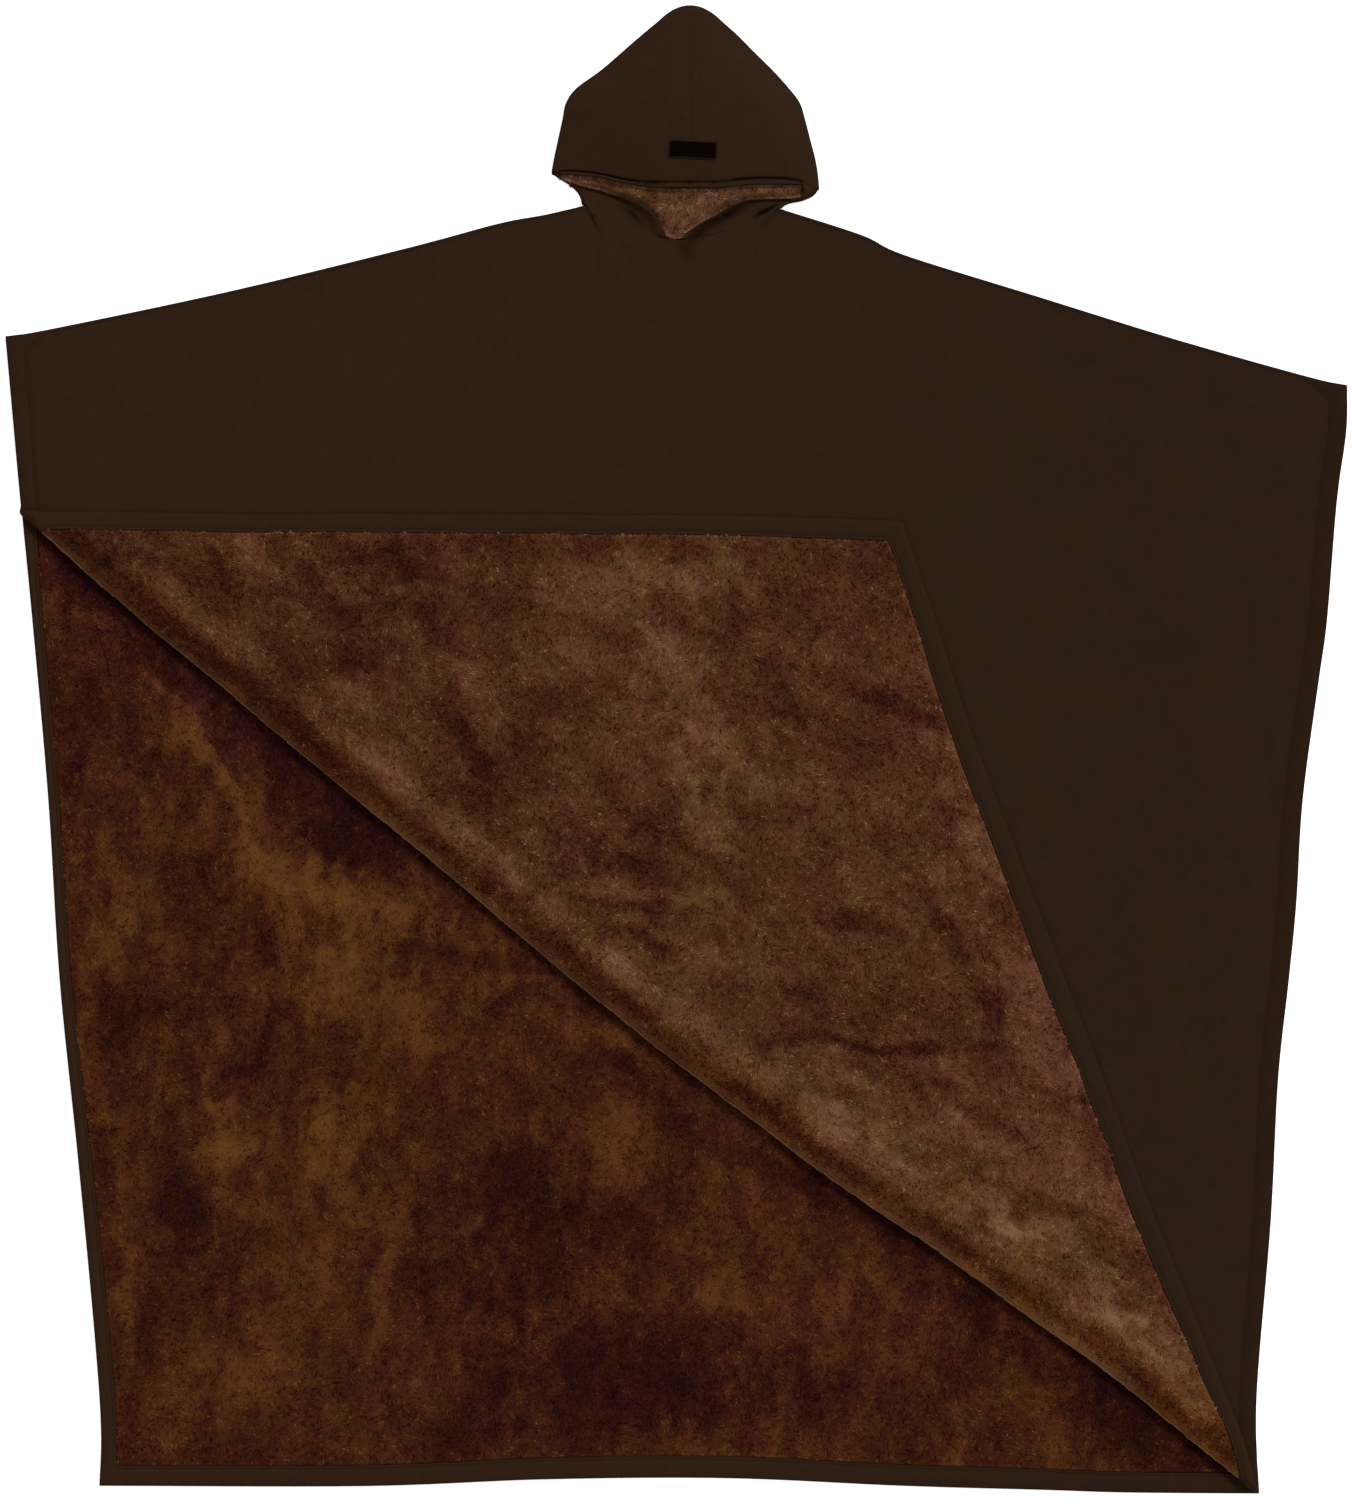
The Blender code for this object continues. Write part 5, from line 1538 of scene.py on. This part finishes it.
class PonchoSettings(bpy.types.PropertyGroup):
    """Sizes and colours of the poncho's looks."""

    tuft_spacing: length_setting("Tuft spacing", "Distance between tufts of the pile", 0.0024)
    tuft_length: length_setting("Tuft length", "Length of a tuft of the pile", 0.0036)
    tuft_width: length_setting("Tuft width", "Width of a tuft at its root", 0.0027)
    shell_colour: colour_setting("Shell", "Colour of the woven shell", 48, 31, 19)
    far_colour: colour_setting("Shell, right side", "Its colour at the right", 44, 30, 19)
    strip_colour: colour_setting("Strip", "Colour of the hook tape", 8, 4, 2)
    thread_colour: colour_setting("Thread", "Colour of the sewing thread", 38, 25, 17)
    light_share: FloatProperty(
        name="Colour strength",
        description="Share of a surface's colour kept under the bright light",
        default=0.85,
    )


def settings():
    return bpy.context.scene.poncho


def held_material(name, make, *values):
    """A material of this name, made once."""
    return bpy.data.materials.get(name) or make(name, *values)


def shell_material():
    held = settings()
    share = held.light_share
    near, far = [tuple(share * c for c in colour) for colour in (held.shell_colour, held.far_colour)]
    return held_material("poncho_shell_cloth", shell_cloth, near, far)


def thread_material():
    return held_material("poncho_thread", thread_cloth, tuple(settings().thread_colour))


def plush(name, tones):
    return held_material(f"poncho_{name}_plush", pile_cloth, toned(tones))


def parts_of(roots, count):
    """Split roots into bands of equal number along the fold."""
    return np.array_split(roots[np.argsort(roots[:, 0])], count)


# How far apart a panel's columns are on its shell and on its lining, and the tufts in the face opening
SHELL_PITCH = 10.0
LINING_PITCH = 6.4
FACE_SPACING = 1.9

# Length and width of the tufts in the face opening
FACE_TUFT = (3.6, 1.1)


def add_tufts(name, parts, looks, seed, way, slot, tones, calm=1.0):
    """Add a panel's tufts in several pieces, each with its own seed."""
    for k, part in enumerate(parts):
        numbered = f"{name}_{k + 1}" if len(parts) > 1 else name
        piece = panel_tufts(numbered, part, looks, seed + k, way, calm)
        attached(piece, plush(slot, tones))


class PONCHO_OT_back(bpy.types.Operator):
    """Build the back panel: its shell with the hem turned over, and its plush lining"""

    bl_idname = "poncho.back"
    bl_label = "Back panel"

    def execute(self, context):
        panel = back_panel(SHELL_PITCH)
        shell = shell_piece("back_panel_shell", panel, place_back, False, 0, 78)
        attached(shell, shell_material(), ["back_shell"])
        panel = back_panel(LINING_PITCH)
        lining = lining_piece("back_panel_lining", panel, BACK_LOOKS, False, 100, 8)
        attached(lining, plush("back", BACK_TONES), ["back_lining"])
        roots = pile_roots(panel, settings().tuft_spacing / MM, 51, 4.0)
        add_tufts("back_tufts", parts_of(roots, 2), BACK_LOOKS, 52, 75, "back", BACK_TONES)
        attached(hem_stitches("back_stitches", panel, place_back), thread_material())
        return {"FINISHED"}


class PONCHO_OT_front(bpy.types.Operator):
    """Build the front panel, with its lower left corner folded over"""

    bl_idname = "poncho.front"
    bl_label = "Front panel"

    def execute(self, context):
        entry = fold_entry()
        panel = front_panel(SHELL_PITCH, ((entry + 22, 28, 1.0), (CORNER_S - 26, 28, 1.0)))
        shell = shell_piece("front_panel_shell", panel, place_front, True, 20, 86)
        attached(shell, shell_material(), ["front_shell"])
        panel = front_panel(LINING_PITCH, ((entry + 20, 26, 1.2), (CORNER_S - 25, 27, 1.2)))
        lining = lining_piece("front_panel_lining", panel, FRONT_LOOKS, True, 92, 8)
        attached(lining, plush("front", FLAP_TONES), ["front_lining"])
        space = settings().tuft_spacing / MM
        roots = pile_roots(panel, space, 61, 2 * FOLD_MIDDLE)
        rim = pile_roots(panel, space, 62, 3.0, 0.33)
        rim = rim[rim[:, 1] > 2 * FOLD_MIDDLE]
        add_tufts("flap_tufts", parts_of(roots, 2), FRONT_LOOKS, 63, 100, "front", FLAP_TONES)
        add_tufts("fold_rim_tufts", [rim], FRONT_LOOKS, 66, -130, "front", FLAP_TONES, 0.3)
        attached(hem_stitches("front_stitches", panel, place_front), thread_material())
        return {"FINISHED"}


def face_roots():
    """Roots of the pile in the face opening: a shaken grid that goes on a little way under the opening's
    edges, less so towards its corners."""
    steps = np.meshgrid(np.arange(-134, 146, FACE_SPACING), np.arange(540, 628, FACE_SPACING))
    grid = np.stack(steps, axis=-1).reshape(-1, 2)
    grid = grid + np.random.default_rng(95).uniform(-0.9, 0.9, grid.shape)
    x, y = grid[:, 0], grid[:, 1]
    left = ease((x + 129) / 30)
    below, above = 6 * left * ease((131 - x) / 40), 7 * left * ease((141 - x) / 10)
    inside = (y > opening_low(x) - below) & (y < opening_high(x) + above)
    return grid[inside & (x > -127) & (x < 139)]


class PONCHO_OT_hood(bpy.types.Operator):
    """Build the hood: two shell halves, two lining halves and the pile in the face opening"""

    bl_idname = "poncho.hood"
    bl_label = "Hood"

    def execute(self, context):
        for side in ("left", "right"):
            shell = hood_shell(f"hood_shell_{side}", side)
            attached(shell, shell_material(), [f"hood_{side}"])
            lining = hood_lining(f"hood_pile_{side}", side)
            attached(lining, plush("hood", HOOD_TONES), [f"hood_lining_{side}"])
        grid = face_roots()
        root = np.column_stack([grid, hood_floor(grid) - 0.2])
        normal = np.tile([0.0, 0.0, 1.0], (len(grid), 1))
        piece = tufts("face_tufts", root, normal, hood_nap(grid), (grid + 300) / 1000, 96, *FACE_TUFT, 80)
        attached(piece, plush("hood", HOOD_TONES))
        return {"FINISHED"}


def tape_points():
    """The hook tape as rows and columns: its top follows the hood's outer face, and its outermost rows and
    columns go down into the cloth as its sides."""
    along, across = np.linspace(-0.5, 0.5, 44), np.linspace(-0.5, 0.5, 17)
    a, b = np.meshgrid(along * STRIP_LENGTH, across * STRIP_WIDTH)
    x = STRIP_CENTRE[0] + a * math.cos(STRIP_TURN) - b * math.sin(STRIP_TURN)
    y = STRIP_CENTRE[1] + a * math.sin(STRIP_TURN) + b * math.cos(STRIP_TURN)
    z = hood_height(np.column_stack([x.ravel(), y.ravel()])).reshape(x.shape) + STRIP_LIFT
    top = np.stack([x, y, z + STRIP_THICKNESS - STRIP_PRESS], axis=-1)
    bottom = np.stack([x, y, z - STRIP_SINK], axis=-1)
    grid = np.concatenate([bottom[:1], top, bottom[-1:]])
    start, end = [np.concatenate([bottom[:1, k], bottom[:, k], bottom[-1:, k]])[:, None] for k in (0, -1)]
    return np.concatenate([start, grid, end], axis=1)


class PONCHO_OT_strip(bpy.types.Operator):
    """Build the hook tape on the hood"""

    bl_idname = "poncho.strip"
    bl_label = "Hook tape"

    def execute(self, context):
        grid = tape_points()
        rows, columns = grid.shape[:2]
        uv = np.stack(np.meshgrid(np.arange(columns) / 50, np.arange(rows) / 50), axis=-1).reshape(-1, 2)
        border = np.ones((rows, columns))
        border[2:-2, 2:-2] = 0
        shades = {"border": border.ravel()}
        faces = grid_faces(rows, columns)
        piece = mesh_piece("hook_tape", grid.reshape(-1, 3), faces, uv, shades, smooth=False)
        tape = held_material("poncho_hook_tape", hook_cloth, tuple(settings().strip_colour))
        attached(piece, tape, ["hood_strip"])
        return {"FINISHED"}


# Stage, in metres: half the floor's side and its depth, the camera's height and sideways place, and the
# height of what it frames at the height of the cloth's top. Its film is in millimetres
FLOOR_REACH = 40.0
FLOOR_DEPTH = 0.0004
CAMERA_HEIGHT = 6.0
CAMERA_X = 0.0016
FRAME_HEIGHT = 1.62
CLOTH_TOP = 0.008
FILM = 36.0


def add_floor(scene):
    """A pale floor that glows a little, so that it stays white in the picture."""
    mesh = bpy.data.meshes.new("floor")
    corners = [(-1, -1), (1, -1), (1, 1), (-1, 1)]
    points = [(FLOOR_REACH * x, FLOOR_REACH * y, -FLOOR_DEPTH) for x, y in corners]
    mesh.from_pydata(points, [], [(0, 1, 2, 3)])
    material, tree, shader = shader_tree("studio_floor")
    feed(tree, shader, {"Base Color": (0.85, 0.85, 0.85, 1.0), "Specular IOR Level": 0.1, "Roughness": 0.9})
    feed(tree, shader, {"Emission Color": (1.0, 1.0, 1.0, 1.0), "Emission Strength": 0.7})
    mesh.materials.append(material)
    floor = bpy.data.objects.new("floor", mesh)
    scene.collection.objects.link(floor)


def add_lights(scene):
    """An even white sky, and a broad sun from the upper right."""
    world = scene.world or bpy.data.worlds.new("studio")
    scene.world = world
    world.use_nodes = True
    tree = world.node_tree
    feed(tree, tree.nodes["Background"], {"Color": (1.0, 1.0, 1.0, 1.0), "Strength": 0.55})
    lamp = bpy.data.lights.new("key", "SUN")
    lamp.energy = 2.6
    lamp.angle = math.radians(16)
    key = bpy.data.objects.new("key", lamp)
    key.location = (1.6, 1.8, 2.2)
    key.rotation_euler = (math.radians(48), 0.0, math.radians(138))
    scene.collection.objects.link(key)


def add_camera(scene):
    """A camera straight above, framed as the photo is."""
    camera = bpy.data.cameras.new("camera")
    camera.sensor_width = FILM
    camera.sensor_fit = "AUTO"
    camera.lens = FILM * (CAMERA_HEIGHT - CLOTH_TOP) / FRAME_HEIGHT
    camera.clip_end = 100.0
    obj = bpy.data.objects.new("camera", camera)
    obj.location = (CAMERA_X, 0.0, CAMERA_HEIGHT)
    scene.collection.objects.link(obj)
    scene.camera = obj
    scene.view_settings.view_transform = "Standard"


class PONCHO_OT_stage(bpy.types.Operator):
    """Build the pale floor, the soft lights and the camera straight above"""

    bl_idname = "poncho.stage"
    bl_label = "Stage"

    def execute(self, context):
        add_floor(context.scene)
        add_lights(context.scene)
        add_camera(context.scene)
        return {"FINISHED"}


class PONCHO_PT_panel(bpy.types.Panel):
    """Sizes, colours and steps of the poncho's looks"""

    bl_idname = "PONCHO_PT_panel"
    bl_label = "Hooded poncho"
    bl_space_type = "VIEW_3D"
    bl_region_type = "UI"
    bl_category = "Poncho"

    def draw(self, context):
        for name in PonchoSettings.__annotations__:
            self.layout.prop(context.scene.poncho, name)
        for step in STEPS:
            self.layout.operator(step.bl_idname)


STEPS = (PONCHO_OT_back, PONCHO_OT_front, PONCHO_OT_hood, PONCHO_OT_strip, PONCHO_OT_stage)
CLASSES = (PonchoSettings, *STEPS, PONCHO_PT_panel)


def register():
    for item in CLASSES:
        bpy.utils.register_class(item)
    bpy.types.Scene.poncho = PointerProperty(type=PonchoSettings)


def unregister():
    del bpy.types.Scene.poncho
    for item in reversed(CLASSES):
        bpy.utils.unregister_class(item)


def main():
    register()
    bpy.ops.poncho.back()
    bpy.ops.poncho.front()
    bpy.ops.poncho.hood()
    bpy.ops.poncho.strip()
    bpy.ops.poncho.stage()


if __name__ == "__main__":
    main()
